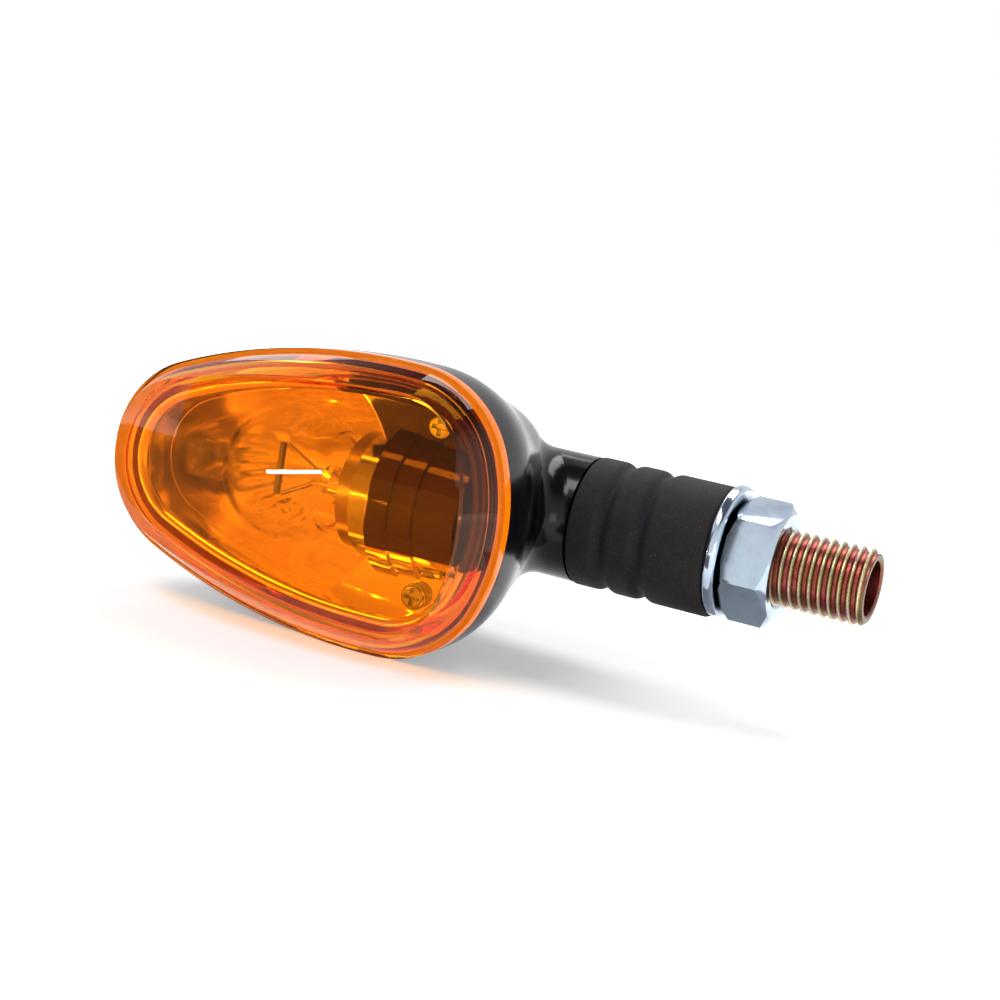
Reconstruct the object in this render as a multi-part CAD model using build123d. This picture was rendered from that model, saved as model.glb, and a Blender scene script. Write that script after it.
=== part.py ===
from build123d import *
import os
from math import sqrt, atan2, cos, sin, tan, pi, radians

# Motorcycle turn signal: teardrop lamp head on a rubber stem with a hollow M10 stud.
# +X runs along the stem axis and out of the stud's free end, the lens faces -Y,
# +Z is up, and the origin is on the stud axis at the rubber's clamping face.

# ---- lamp head outline in the X-Z plane: a teardrop of tangent arcs ----
HEAD_TIP_X = -75.0
HEAD_END_X = -19.0
HEAD_HALF_HEIGHT = 18.2
END_ARC_R = 26.0
CORNER_ARC_R = 13.7
SIDE_ARC_R = 78.0
TIP_ARC_R = 13.0

# ---- how far a cutting tool runs past what it cuts, and a joined piece into its neighbour ----
OVERCUT = 1.0
BITE = 0.3

# ---- planes across the head, front to back ----
RIM_Y = -24.6
BACK_Y = 8.6
HOUSING_WALL = 2.2
HOUSING_BACK_WALL = 2.0
# how far the bowl has drawn in from the rim outline, with its depth behind the rim
BOWL_STATIONS = [(0.0, 0.0), (2.6, 0.03), (5.2, 0.3), (10.6, 1.75), (17.6, 3.75), (24.6, 6.0),
                 (29.6, 8.3), (34.0, 11.2)]
# the back is domed: a barrel about a line along X
BACK_CREST_X = -36.0
BACK_LONG_R = 46.0
BACK_CROSS_R = 40.0
BACK_EDGE_R = 4.0

# ---- gasket and lens ----
GASKET_THICK = 0.4
GASKET_INSET = 0.4
GASKET_WIDTH = 1.5
LENS_GAP = 0.02
LENS_FLANGE_THICK = 1.6
LENS_WALL = 2.2
LENS_STATIONS = [(1.6, 0.5), (3.5, 1.35), (5.5, 2.5), (7.5, 3.9), (10.5, 6.4)]
LENS_APEX_DEPTH = 9.0
LENS_LONG_R = 95.0
LENS_CROSS_R = 55.0
LENS_CREST_X = -42.0
SKIRT_DEPTH = 2.2
SKIRT_THICK = 1.3
SKIRT_CLEARANCE = 0.15
TAB_X = -48.3
TAB_WIDTH = 4.5
TAB_THICK = 0.75
TAB_INSET = 2.95
TAB_LENGTH = 4.0

# ---- bulb, on an axis along X ----
BULB_Y = -16.5
GLOBE_X = -53.5
GLOBE_CLEARANCE = 3.8
GLASS_THICK = 0.6
GLASS_NECK_R = 6.6
GLASS_DEPTH = 2.5
CAP_R = 7.5
CAP_WALL = 0.4
CAP_MOUTH_X = -43.0
CAP_END_X = -29.8
VITRITE_THICK = 0.5
VITRITE_RIM = 0.8
CONTACT_R = 2.4
CONTACT_LENGTH = 0.9
CONTACT_STEM_R = 1.8
CONTACT_EDGE_R = 0.5
SEAL_SETBACK = 0.5
SEAL_LENGTH = 1.5
PIN_R = 1.0
PIN_REACH = 1.0
PIN_REST_DEG = 10.0
PIN_FROM_END = 6.3
FILAMENT_R = 0.45
FILAMENT_HALF = 3.2
FILAMENT_X = -55.0
FILAMENT_TAIL = 0.2
SUPPORT_R = 0.3
SUPPORT_FOOT_Z = 0.9
SUPPORT_STRAIGHT = 2.0
STEM_GLASS_R = 1.9
STEM_GLASS_X = -48.5

# ---- socket ----
SOCKET_CLEARANCE = 0.1
SOCKET_WALL = 0.6
SOCKET_REACH = 3.3
SOCKET_STEP_X = -27.2
SOCKET_CUP_R = 5.0
SOCKET_END_X = -23.8
SADDLE_DROP = 3.4
SADDLE_WIDTH = 2.5
SADDLE_SETBACK = 0.5
TURN_DEG = 20.0
PRESS = 1.5
SLOT_CLEARANCE = 0.15
SLOT_STEPS = 6
PLUNGER_R = 3.6
PLUNGER_THICK = 1.0
PLUNGER_GAP = 0.03
INSULATOR_THICK = 0.7
SPRING_R = 3.0
SPRING_WIRE_R = 0.25
SPRING_TURNS = 3
EARTH_TAG_WIDTH = 4.8
EARTH_TAG_THICK = 0.8

# ---- reflector ----
REFLECTOR_INSET = 4.1
REFLECTOR_WALL = 1.1
REFLECTOR_RIM_Y = -22.6
REFLECTOR_BACK_Y = -3.2
REFLECTOR_GAP = 0.5
REFLECTOR_DRAFT = 0.165
SHELF_X = -37.5
SHELF_Y = -20.5
HUMP_CLEARANCE = 0.2
PIN_HOLE_CLEARANCE = 0.3
SCREW_X = -31.5
SCREW_INSET = 7.6
SCREW_HEAD_R = 1.7
SCREW_HEAD_HEIGHT = 1.5
SCREW_R = 1.1
SCREW_LENGTH = 7.5
SCREW_HEAD_EDGE_R = 0.6
SCREW_END_CLEARANCE = 0.5
CROSS_SLOT = (0.6, 2.2)
CROSS_DEPTH = 0.8
BOSS_R = 2.1
REST_POST_X = -60.0
REST_POST_R = 2.0

# ---- neck and rubber stem ----
NECK_R = 8.3
NECK_END_X = -18.75
NECK_ROOT_X = -32.0
NECK_BLEND_R = 3.0
NECK_FLOOR_X = -27.0
NECK_FLOOR_THICK = 4.5
RUBBER_R = 8.45
RUBBER_GAP = 0.3
SPIGOT_R = 6.0
SPIGOT_CLEARANCE = 0.15
RUBBER_GROOVES = [-14.0, -8.8]
GROOVE_WIDTH = 1.3
GROOVE_DEPTH = 0.45
RUBBER_EDGE_R = 0.6
WIRE_BORE_R = 3.5

# ---- hollow stud, washer and nut ----
STUD_R = 4.925
STUD_BORE_R = 3.5
STUD_END_X = 19.5
STUD_CHAMFER = 0.6
STUD_BORE_CHAMFER = 0.2
STUD_SHANK = 2.5
THREAD_GROOVE_WIDTH = 1.0
THREAD_GROOVE_DEPTH = 0.5
THREAD_GROOVE_SETBACK = 0.1
STUD_FLANGE_R = 6.2
STUD_FLANGE_THICK = 3.0
WASHER_R = 8.5
WASHER_BORE_R = 5.45
WASHER_THICK = 1.5
WASHER_EDGE_R = 0.5
WASHER_LIFT = 0.4
FACE_GAP = 0.02
NUT_FLATS = 14.0
NUT_HEIGHT = 6.5
NUT_TURN = 16.0
NUT_CORNER_R = 7.0
NUT_CHAMFER_DEG = 30.0
THREAD_CLEARANCE = 0.06
NUT_MOUTH = 0.4

# ---- inner stud that holds the head to the rubber ----
INNER_STUD_R = 4.0
INNER_BORE_R = 3.0
INNER_FLANGE_R = 5.0
INNER_FLANGE_THICK = 2.0
INNER_FLANGE_SETBACK = 0.9
INNER_CLEARANCE = 0.1
RING_NUT_R = 6.1
RING_NUT_THICK = 3.0
RING_NUT_SLOT = 1.4
RING_NUT_SLOT_DEPTH = 1.2
RING_NUT_CLEARANCE = 0.3
INNER_TAIL = 1.0


def tangent_circle(c1, r1, c2, r2):
    """Upper crossing of two circles: the centre of an arc tangent to both."""
    dx, dz = c2[0] - c1[0], c2[1] - c1[1]
    d = sqrt(dx * dx + dz * dz)
    a = (r1 * r1 - r2 * r2 + d * d) / (2 * d)
    h = sqrt(r1 * r1 - a * a)
    p = (c1[0] + (a * dx - h * dz) / d, c1[1] + (a * dz + h * dx) / d)
    q = (c1[0] + (a * dx + h * dz) / d, c1[1] + (a * dz - h * dx) / d)
    return p if p[1] > q[1] else q


def egg_centres():
    """Centres of the end, corner, side and tip arcs."""
    end = (HEAD_END_X - END_ARC_R, 0.0)
    tip = (HEAD_TIP_X + TIP_ARC_R, 0.0)
    drop = SIDE_ARC_R - HEAD_HALF_HEIGHT
    run = sqrt((SIDE_ARC_R - TIP_ARC_R) ** 2 - drop ** 2)
    side = (tip[0] + run, -drop)
    corner = tangent_circle(side, SIDE_ARC_R - CORNER_ARC_R, end, END_ARC_R - CORNER_ARC_R)
    return end, corner, side, tip


def outline_half_height(x):
    """Height of the outline's side arc above the X axis."""
    side = egg_centres()[2]
    return side[1] + sqrt(SIDE_ARC_R ** 2 - (x - side[0]) ** 2)


def egg(y, inset=0.0):
    """The teardrop as a face in the plane at y, drawn in by inset, facing -Y."""
    end, corner, side, tip = egg_centres()

    def heading(a, b):
        return atan2(b[1] - a[1], b[0] - a[0])

    a1, a2, a3 = heading(end, corner), heading(side, corner), heading(side, tip)
    runs = [(end, END_ARC_R, -a1, a1), (corner, CORNER_ARC_R, a1, a2)]
    runs += [(side, SIDE_ARC_R, a2, a3), (tip, TIP_ARC_R, a3, 2 * pi - a3)]
    runs += [((side[0], -side[1]), SIDE_ARC_R, -a3, -a2)]
    runs += [((corner[0], -corner[1]), CORNER_ARC_R, -a2, -a1)]
    edges = []
    for c, r, start, stop in runs:
        pts = []
        for t in (start, (start + stop) / 2, stop):
            pts.append((c[0] + (r - inset) * cos(t), y, c[1] + (r - inset) * sin(t)))
        edges.append(ThreePointArc(*pts))
    return Face(Wire(edges))


def egg_slab(y_front, y_back, inset=0.0):
    """A straight slab of the teardrop between two planes."""
    return extrude(egg(y_back, inset), amount=y_back - y_front, dir=(0, -1, 0))


def egg_loft(stations):
    """A smooth body through (y, inset) stations of the teardrop."""
    return Solid.make_loft([egg(y, inset).outer_wire() for y, inset in stations])


def rod(x0, x1, r, y=0.0, z=0.0):
    """A cylinder along X from x0 to x1."""
    return Pos((x0 + x1) / 2, y, z) * Rot(0, 90, 0) * Cylinder(r, abs(x1 - x0))


def post(y0, y1, r, x, z):
    """A cylinder along Y from y0 to y1."""
    return Pos(x, (y0 + y1) / 2, z) * Rot(90, 0, 0) * Cylinder(r, abs(y1 - y0))


def block(x0, x1, y0, y1, z0, z1):
    return Pos((x0 + x1) / 2, (y0 + y1) / 2, (z0 + z1) / 2) * Box(x1 - x0, y1 - y0, z1 - z0)


def turned(profile, y=0.0):
    """Revolves (x, r) corners about the line along X at this y."""
    pts = [(x, y + r, 0) for x, r in profile]
    return revolve(Face(Wire.make_polygon(pts, close=True)), Axis((0, y, 0), (1, 0, 0)), 360)


def barrel(crest_y, crest_x, long_r, cross_r, side):
    """A barrel about a line along X: side 1 domes towards +Y, side -1 towards -Y."""
    axis_y = crest_y - side * cross_r
    half = min(0.9 * long_r, HEAD_END_X - HEAD_TIP_X)
    drop = long_r - sqrt(long_r ** 2 - half ** 2)
    left, right, low = crest_x - half, crest_x + half, crest_y - side * drop
    crest = ThreePointArc((left, low, 0), (crest_x, crest_y, 0), (right, low, 0))
    sides = Polyline((right, low, 0), (right, axis_y, 0), (left, axis_y, 0), (left, low, 0))
    return revolve(Face(Wire([crest] + sides.edges())), Axis((0, axis_y, 0), (1, 0, 0)), 360)


# ---- housing -------------------------------------------------------------------------

def bowl(shrink, back_shrink):
    """The bowl's outside, or with shrink its inside: drawn-in walls under a domed back."""
    walls = egg_loft([(RIM_Y + depth, inset + shrink) for depth, inset in BOWL_STATIONS])
    return walls & back_barrel(back_shrink)


def back_barrel(shrink):
    return barrel(BACK_Y - shrink, BACK_CREST_X, BACK_LONG_R - shrink, BACK_CROSS_R - shrink, 1)


def neck_floor_inner_x():
    return NECK_FLOOR_X - NECK_FLOOR_THICK


def socket_mouth_x():
    return SHELF_X - SOCKET_REACH


def socket_outer_r():
    return CAP_R + SOCKET_CLEARANCE + SOCKET_WALL


def pin_path_r():
    return CAP_R + PIN_REACH


def saddle(x0, x1):
    """A moulded cradle that the socket lies in, standing on the housing's back."""
    r = socket_outer_r()
    return block(x0, x1, BULB_Y + SADDLE_DROP, BACK_Y, -r, r) - rod(x0 - OVERCUT, x1 + OVERCUT, r, BULB_Y)


def screw_z():
    return HEAD_HALF_HEIGHT - SCREW_INSET


def screw_bosses():
    bosses = Part()
    for z in (screw_z(), -screw_z()):
        top = SHELF_Y + REFLECTOR_WALL
        bosses += post(top, BACK_Y, BOSS_R, SCREW_X, z)
    return bosses


def screw_holes():
    holes = Part()
    for z in (screw_z(), -screw_z()):
        holes += post(SHELF_Y - OVERCUT, SHELF_Y + REFLECTOR_WALL + SCREW_LENGTH, SCREW_R, SCREW_X, z)
    return holes


def housing_outside():
    """The bowl with its dome rounded over, and the neck blended into it."""
    body = bowl(0.0, 0.0)
    rim_zone = RIM_Y + BOWL_STATIONS[2][0]
    dome_edges = body.edges().filter_by(lambda e: e.center().Y > rim_zone)
    body = fillet(dome_edges, BACK_EDGE_R) + rod(NECK_END_X, NECK_ROOT_X, NECK_R)
    neck_faces = body.faces().filter_by(GeomType.CYLINDER)
    root = [e for f in neck_faces for e in f.edges() if e.geom_type == GeomType.BSPLINE]
    return fillet(root, NECK_BLEND_R)


def housing():
    shell = housing_outside() - bowl(HOUSING_WALL, HOUSING_BACK_WALL)
    floor = rod(NECK_FLOOR_X, neck_floor_inner_x(), NECK_R)
    inside = screw_bosses() + post(REFLECTOR_BACK_Y, BACK_Y, REST_POST_R, REST_POST_X, 0)
    front = SHELF_X + REFLECTOR_WALL + SADDLE_SETBACK
    inside += saddle(front, front + SADDLE_WIDTH)
    inside += saddle(SOCKET_STEP_X - SADDLE_WIDTH, SOCKET_STEP_X)
    inside = (inside + floor) & bowl(HOUSING_WALL / 2, HOUSING_BACK_WALL / 2)
    inside = inside - rod(NECK_END_X, HEAD_TIP_X, socket_outer_r(), BULB_Y)
    body = shell + inside - screw_holes()
    body -= rod(NECK_END_X + OVERCUT, NECK_FLOOR_X, SPIGOT_R + SPIGOT_CLEARANCE)
    body -= rod(NECK_FLOOR_X + OVERCUT, inner_stud_tail_x(), INNER_STUD_R + INNER_CLEARANCE)
    return body - rod(neck_floor_inner_x(), inner_stud_tail_x(), RING_NUT_R + RING_NUT_CLEARANCE)


def gasket():
    front = RIM_Y - GASKET_THICK
    ring = egg_slab(front, RIM_Y, GASKET_INSET)
    return ring - egg_slab(front - OVERCUT, RIM_Y + OVERCUT, GASKET_INSET + GASKET_WIDTH)


# ---- lens ----------------------------------------------------------------------------

def lens_seat_y():
    return RIM_Y - GASKET_THICK - LENS_GAP


def lens_barrel(shrink):
    apex = lens_seat_y() - LENS_APEX_DEPTH + shrink
    return barrel(apex, LENS_CREST_X, LENS_LONG_R - shrink, LENS_CROSS_R - shrink, -1)


def lens_wall_body(shrink):
    seat = lens_seat_y()
    return egg_loft([(seat - d, inset + shrink) for d, inset in LENS_STATIONS])


def lens_skirt():
    """The rim that drops inside the housing's mouth."""
    seat = lens_seat_y()
    end = seat + GASKET_THICK + SKIRT_DEPTH
    inset = HOUSING_WALL + SKIRT_CLEARANCE
    skirt = egg_slab(seat - BITE, end, inset)
    return skirt - egg_slab(seat - BITE - OVERCUT, end + OVERCUT, inset + SKIRT_THICK)


def lens():
    seat = lens_seat_y()
    first = LENS_STATIONS[0]
    outer = egg_slab(seat - LENS_FLANGE_THICK, seat) + (lens_wall_body(0.0) & lens_barrel(0.0))
    inner = lens_wall_body(LENS_WALL) & lens_barrel(LENS_WALL)
    inner += egg_slab(seat - first[0], seat + OVERCUT, first[1] + LENS_WALL)
    body = outer - inner + lens_skirt()
    half = TAB_WIDTH / 2
    outer = outline_half_height(TAB_X) - TAB_INSET
    for side in (1, -1):
        z0, z1 = sorted((side * outer, side * (outer - TAB_THICK)))
        body += block(TAB_X - half, TAB_X + half, seat - BITE, seat + TAB_LENGTH, z0, z1)
    return body


# ---- reflector -----------------------------------------------------------------------

def reflector_body(shrink):
    """The reflector's outside, or with shrink its inside."""
    back = REFLECTOR_BACK_Y - shrink
    inset = REFLECTOR_INSET + shrink
    drawn_in = (back - REFLECTOR_RIM_Y) * REFLECTOR_DRAFT
    walls = egg_loft([(REFLECTOR_RIM_Y, inset), (back, inset + drawn_in)])
    return walls & back_barrel(HOUSING_BACK_WALL + REFLECTOR_GAP + shrink)


def hump(gap, left):
    """Room for the socket's shell and cup, grown by gap, from left to the shell's step and on."""
    step = SOCKET_STEP_X + gap
    shell = rod(left, step, socket_outer_r() + gap, BULB_Y)
    return shell + rod(step - OVERCUT, SOCKET_END_X + gap, SOCKET_CUP_R + gap, BULB_Y)


def reflector():
    """A bowl round the bulb, and a shelf over the socket with a hump where the socket stands proud."""
    outer = reflector_body(0.0)
    inner = reflector_body(REFLECTOR_WALL)
    far = HEAD_HALF_HEIGHT
    wall = REFLECTOR_WALL
    bowl = outer & block(HEAD_TIP_X, SHELF_X + wall, RIM_Y, BACK_Y, -far, far)
    bowl -= inner & block(HEAD_TIP_X, SHELF_X, RIM_Y, BACK_Y, -far, far)
    shelf = outer & block(SHELF_X, HEAD_END_X, RIM_Y, SHELF_Y + wall, -far, far)
    shelf -= inner & block(SHELF_X - OVERCUT, HEAD_END_X, RIM_Y, SHELF_Y, -far, far)
    top = BULB_Y - socket_outer_r() - HUMP_CLEARANCE - wall
    reach = egg_slab(top - OVERCUT, SHELF_Y + wall, REFLECTOR_INSET)
    body = bowl + shelf + (hump(HUMP_CLEARANCE + wall, SHELF_X) & reach)
    body -= hump(HUMP_CLEARANCE, SHELF_X - OVERCUT)
    pin_hole_r = pin_path_r() + PIN_HOLE_CLEARANCE
    body -= rod(SHELF_X - OVERCUT, SHELF_X + wall + PIN_HOLE_CLEARANCE, pin_hole_r, BULB_Y)
    return body - screw_holes()


def cross_recess(x, y, z):
    """A cross slot sunk from the plane at y."""
    cuts = Part()
    for w, h in (CROSS_SLOT, CROSS_SLOT[::-1]):
        cuts += block(x - w / 2, x + w / 2, y - OVERCUT, y + CROSS_DEPTH, z - h / 2, z + h / 2)
    return cuts


def reflector_screws():
    screws = []
    tip = SHELF_Y + REFLECTOR_WALL + SCREW_LENGTH - SCREW_END_CLEARANCE
    top = SHELF_Y - SCREW_HEAD_HEIGHT
    for z in (screw_z(), -screw_z()):
        head = post(top, SHELF_Y, SCREW_HEAD_R, SCREW_X, z)
        head = fillet(head.edges().filter_by(GeomType.CIRCLE).sort_by(Axis.Y)[:1], SCREW_HEAD_EDGE_R)
        shank = post(SHELF_Y - BITE, tip, SCREW_R, SCREW_X, z)
        screws.append(head + shank - cross_recess(SCREW_X, top, z))
    return Compound(screws)


# ---- bulb ----------------------------------------------------------------------------

def globe_r():
    return HEAD_HALF_HEIGHT - REFLECTOR_INSET - REFLECTOR_WALL - GLOBE_CLEARANCE


def glass_envelope(shrink):
    """The blown glass as a solid turned about the bulb's axis, shrunk by a wall's thickness."""
    ball_r = globe_r() - shrink
    neck_r = GLASS_NECK_R - shrink
    end_x = CAP_MOUTH_X + GLASS_DEPTH - shrink
    ball = ThreePointArc((GLOBE_X - ball_r, 0), (GLOBE_X, ball_r),
                         (GLOBE_X + sqrt(ball_r ** 2 - neck_r ** 2), neck_r))
    rest = Polyline(ball @ 1, (end_x, neck_r), (end_x, 0), ball @ 0)
    return Pos(0, BULB_Y, 0) * revolve(make_face(ball + rest), Axis.X)


def bulb_glass():
    """A blown globe on a short neck that is cemented into the cap."""
    return glass_envelope(0.0) - glass_envelope(GLASS_THICK)


def bulb_stem():
    """The glass pinch that carries the lead wires."""
    return rod(STEM_GLASS_X, CAP_MOUTH_X + GLASS_DEPTH - GLASS_THICK, STEM_GLASS_R, BULB_Y)


def filament_supports():
    wires = []
    for side in (1, -1):
        foot = side * SUPPORT_FOOT_Z
        elbow_x = STEM_GLASS_X - SUPPORT_STRAIGHT
        path = Polyline((STEM_GLASS_X, BULB_Y, foot), (elbow_x, BULB_Y, foot),
                        (FILAMENT_X, BULB_Y, side * FILAMENT_HALF))
        section = Plane(path @ 0, z_dir=path % 0) * Circle(SUPPORT_R)
        wires.append(sweep(section, path=path, transition=Transition.ROUND))
    return Compound(wires)


def filament():
    """The coiled wire's outer shape, lying in front of the supports' ends."""
    reach = FILAMENT_HALF + FILAMENT_TAIL
    return Pos(FILAMENT_X - SUPPORT_R - FILAMENT_R, BULB_Y, 0) * Cylinder(FILAMENT_R, 2 * reach)


def bulb_cap():
    """A thin brass cap with a cement ring round the glass and two bayonet pins."""
    cap = rod(CAP_MOUTH_X, CAP_END_X, CAP_R, BULB_Y)
    cap -= rod(CAP_MOUTH_X - OVERCUT, CAP_END_X - CAP_WALL, CAP_R - CAP_WALL, BULB_Y)
    cap -= rod(CAP_END_X - OVERCUT, CAP_END_X + OVERCUT, vitrite_r(), BULB_Y)
    seal_x = CAP_MOUTH_X + SEAL_SETBACK
    seal = rod(seal_x, seal_x + SEAL_LENGTH, CAP_R - CAP_WALL / 2, BULB_Y)
    cap += seal - rod(CAP_MOUTH_X, seal_x + SEAL_LENGTH + OVERCUT, GLASS_NECK_R, BULB_Y)
    foot = CAP_R - CAP_WALL
    pin_blank = Cylinder(PIN_R, pin_path_r() - foot, align=(Align.CENTER, Align.CENTER, Align.MIN))
    pin = Pos(CAP_END_X - PIN_FROM_END, 0, foot) * pin_blank
    for side in (0, 180):
        cap += Pos(0, BULB_Y, 0) * Rot(side + PIN_REST_DEG, 0, 0) * pin
    return cap


def vitrite_r():
    return CONTACT_R + VITRITE_RIM


def bulb_insulator():
    front = CAP_END_X - CAP_WALL - VITRITE_THICK
    back = CAP_END_X + VITRITE_THICK
    ring = rod(front, back, vitrite_r(), BULB_Y)
    return ring - rod(front - OVERCUT, back + OVERCUT, CONTACT_STEM_R, BULB_Y)


def bulb_contact():
    seat = CAP_END_X + VITRITE_THICK
    tip = rod(seat, contact_end_x(), CONTACT_R, BULB_Y)
    tip = fillet(tip.edges().filter_by(GeomType.CIRCLE).sort_by(Axis.X)[-1:], CONTACT_EDGE_R)
    return tip + rod(CAP_END_X - CAP_WALL - VITRITE_THICK, seat + BITE, CONTACT_STEM_R, BULB_Y)


# ---- socket --------------------------------------------------------------------------

def contact_end_x():
    return CAP_END_X + VITRITE_THICK + CONTACT_LENGTH


def socket_slots():
    """Two J slots: in from the mouth, then round and back along the ramp of the turn."""
    reach = PIN_R + SLOT_CLEARANCE
    x_pin = CAP_END_X - PIN_FROM_END
    low, high = CAP_R - OVERCUT, socket_outer_r() + OVERCUT
    cuts = Part()
    for side in (0, 180):
        for i in range(SLOT_STEPS + 1):
            part_way = i / SLOT_STEPS
            tool = Pos(x_pin + PRESS * part_way, 0, (low + high) / 2) * Cylinder(reach, high - low)
            cuts += Pos(0, BULB_Y, 0) * Rot(side + PIN_REST_DEG - TURN_DEG * part_way, 0, 0) * tool
        run = block(socket_mouth_x() - OVERCUT, x_pin + PRESS, -reach, reach, low, high)
        cuts += Pos(0, BULB_Y, 0) * Rot(side + PIN_REST_DEG - TURN_DEG, 0, 0) * run
    return cuts


def bulb_socket():
    """A drawn shell for the cap with a smaller cup behind it for the contact."""
    wall = SOCKET_WALL
    shell = rod(socket_mouth_x(), SOCKET_STEP_X, socket_outer_r(), BULB_Y)
    shell -= rod(socket_mouth_x() - OVERCUT, SOCKET_STEP_X - wall, socket_outer_r() - wall, BULB_Y)
    cup = rod(SOCKET_STEP_X - wall, SOCKET_END_X, SOCKET_CUP_R, BULB_Y)
    cup_room = rod(SOCKET_STEP_X - wall - OVERCUT, SOCKET_END_X - wall, SOCKET_CUP_R - wall, BULB_Y)
    return shell + cup - cup_room - socket_slots()


def socket_insulator():
    back = SOCKET_END_X - SOCKET_WALL
    return rod(back - INSULATOR_THICK, back, SOCKET_CUP_R - SOCKET_WALL, BULB_Y)


def plunger_front_x():
    return contact_end_x() + PLUNGER_GAP


def contact_plunger():
    x = plunger_front_x()
    return rod(x, x + PLUNGER_THICK, PLUNGER_R, BULB_Y)


def contact_spring():
    start = plunger_front_x() + PLUNGER_THICK + SPRING_WIRE_R
    stop = SOCKET_END_X - SOCKET_WALL - INSULATOR_THICK - SPRING_WIRE_R
    pitch = (stop - start) / SPRING_TURNS
    coil = Helix(pitch, stop - start, SPRING_R, center=(start, BULB_Y, 0), direction=(1, 0, 0))
    section = Plane(coil @ 0, z_dir=coil % 0) * Circle(SPRING_WIRE_R)
    return sweep(section, path=coil, is_frenet=True)


def earth_tag():
    """A flat blade welded to the socket's back, for the earth wire."""
    half = EARTH_TAG_WIDTH / 2
    y1 = BULB_Y + socket_outer_r()
    return block(SOCKET_STEP_X, SOCKET_STEP_X + EARTH_TAG_THICK, BULB_Y + SOCKET_CUP_R, y1, -half, half)


# ---- stem ----------------------------------------------------------------------------

def rubber_inner_x():
    return NECK_FLOOR_X + SPIGOT_CLEARANCE


def inner_flange_x():
    return rubber_inner_x() + INNER_FLANGE_SETBACK


def rubber_stem():
    body = rod(0, NECK_END_X + RUBBER_GAP, RUBBER_R)
    body = fillet(body.edges().filter_by(GeomType.CIRCLE).sort_by(Axis.X)[-1:], RUBBER_EDGE_R)
    body += rod(-OVERCUT, rubber_inner_x(), SPIGOT_R)
    for x in RUBBER_GROOVES:
        ring = Torus(RUBBER_R + GROOVE_WIDTH / 2 - GROOVE_DEPTH, GROOVE_WIDTH / 2)
        body -= Pos(x, 0, 0) * Rot(0, 90, 0) * ring
    body -= rod(OVERCUT, rubber_inner_x() - OVERCUT, WIRE_BORE_R)
    body -= stud_blank()
    c = INNER_CLEARANCE
    x = inner_flange_x()
    body -= rod(x - c, x + INNER_FLANGE_THICK + c, INNER_FLANGE_R + c)
    return body - rod(rubber_inner_x() - OVERCUT, x, INNER_STUD_R + c)


def stud_blank():
    flange = rod(-STUD_SHANK - STUD_FLANGE_THICK, -STUD_SHANK, STUD_FLANGE_R)
    return flange + rod(-STUD_SHANK, STUD_END_X, STUD_R)


def free_thread_groove():
    """One thread groove as a ring outside the nut: the stud's free end starts behind it."""
    x = nut_start_x() + NUT_HEIGHT + THREAD_GROOVE_SETBACK
    root = STUD_R - THREAD_GROOVE_DEPTH
    far = STUD_R + OVERCUT
    end = x + THREAD_GROOVE_WIDTH
    return turned([(x, far), (x, STUD_R), ((x + end) / 2, root), (end, STUD_R), (end, far)])


def stud():
    body = stud_blank()
    body = chamfer(body.edges().filter_by(GeomType.CIRCLE).sort_by(Axis.X)[-1:], STUD_CHAMFER)
    body -= rod(STUD_END_X + OVERCUT, -STUD_SHANK - STUD_FLANGE_THICK - OVERCUT, STUD_BORE_R)
    mouth = body.edges().filter_by(GeomType.CIRCLE).sort_by(Axis.X)[-2:].sort_by(SortBy.RADIUS)[:1]
    return chamfer(mouth, STUD_BORE_CHAMFER) - free_thread_groove()


def washer():
    body = rod(0, WASHER_THICK, WASHER_R)
    body = fillet(body.edges().filter_by(GeomType.CIRCLE), WASHER_EDGE_R)
    body -= rod(-OVERCUT, WASHER_THICK + OVERCUT, WASHER_BORE_R)
    return Pos(FACE_GAP, 0, WASHER_LIFT) * body


def nut_start_x():
    return WASHER_THICK + 2 * FACE_GAP


def nut():
    """A hexagon with both faces chamfered to a circle."""
    x0, x1 = nut_start_x(), nut_start_x() + NUT_HEIGHT
    corner = NUT_FLATS / sqrt(3)
    hexagon = Plane((x0, 0, 0), x_dir=(0, 1, 0), z_dir=(1, 0, 0)) * RegularPolygon(corner, 6)
    body = extrude(hexagon, amount=NUT_HEIGHT)
    cut = (corner - NUT_CORNER_R) * tan(radians(NUT_CHAMFER_DEG))
    lathe = [(x0, 0), (x0, NUT_CORNER_R), (x0 + cut, corner)]
    lathe += [(x1 - cut, corner), (x1, NUT_CORNER_R), (x1, 0)]
    body = Rot(NUT_TURN, 0, 0) * body & turned(lathe)
    r = STUD_R + THREAD_CLEARANCE
    body -= rod(x0 - OVERCUT, x1 + OVERCUT, r)
    for face, out in ((x0, -OVERCUT), (x1, OVERCUT)):
        deep = face - NUT_MOUTH * out / OVERCUT
        body -= turned([(face + out, 0), (face + out, r + NUT_MOUTH + OVERCUT), (deep, r), (deep, 0)])
    return body


def inner_stud_tail_x():
    return neck_floor_inner_x() - RING_NUT_THICK - INNER_TAIL


def inner_stud():
    x = inner_flange_x()
    tail = inner_stud_tail_x()
    body = rod(x, x + INNER_FLANGE_THICK, INNER_FLANGE_R) + rod(x, tail, INNER_STUD_R)
    return body - rod(x + INNER_FLANGE_THICK + OVERCUT, tail - OVERCUT, INNER_BORE_R)


def inner_ring_nut():
    x0 = neck_floor_inner_x()
    x1 = x0 - RING_NUT_THICK
    body = rod(x0, x1, RING_NUT_R) - rod(x0 + OVERCUT, x1 - OVERCUT, INNER_STUD_R)
    half = RING_NUT_SLOT / 2
    far = RING_NUT_R + OVERCUT
    for turn in (0, 90):
        slot = block(x1 - OVERCUT, x1 + RING_NUT_SLOT_DEPTH, -far, far, -half, half)
        body -= Rot(turn, 0, 0) * slot
    return body


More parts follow.
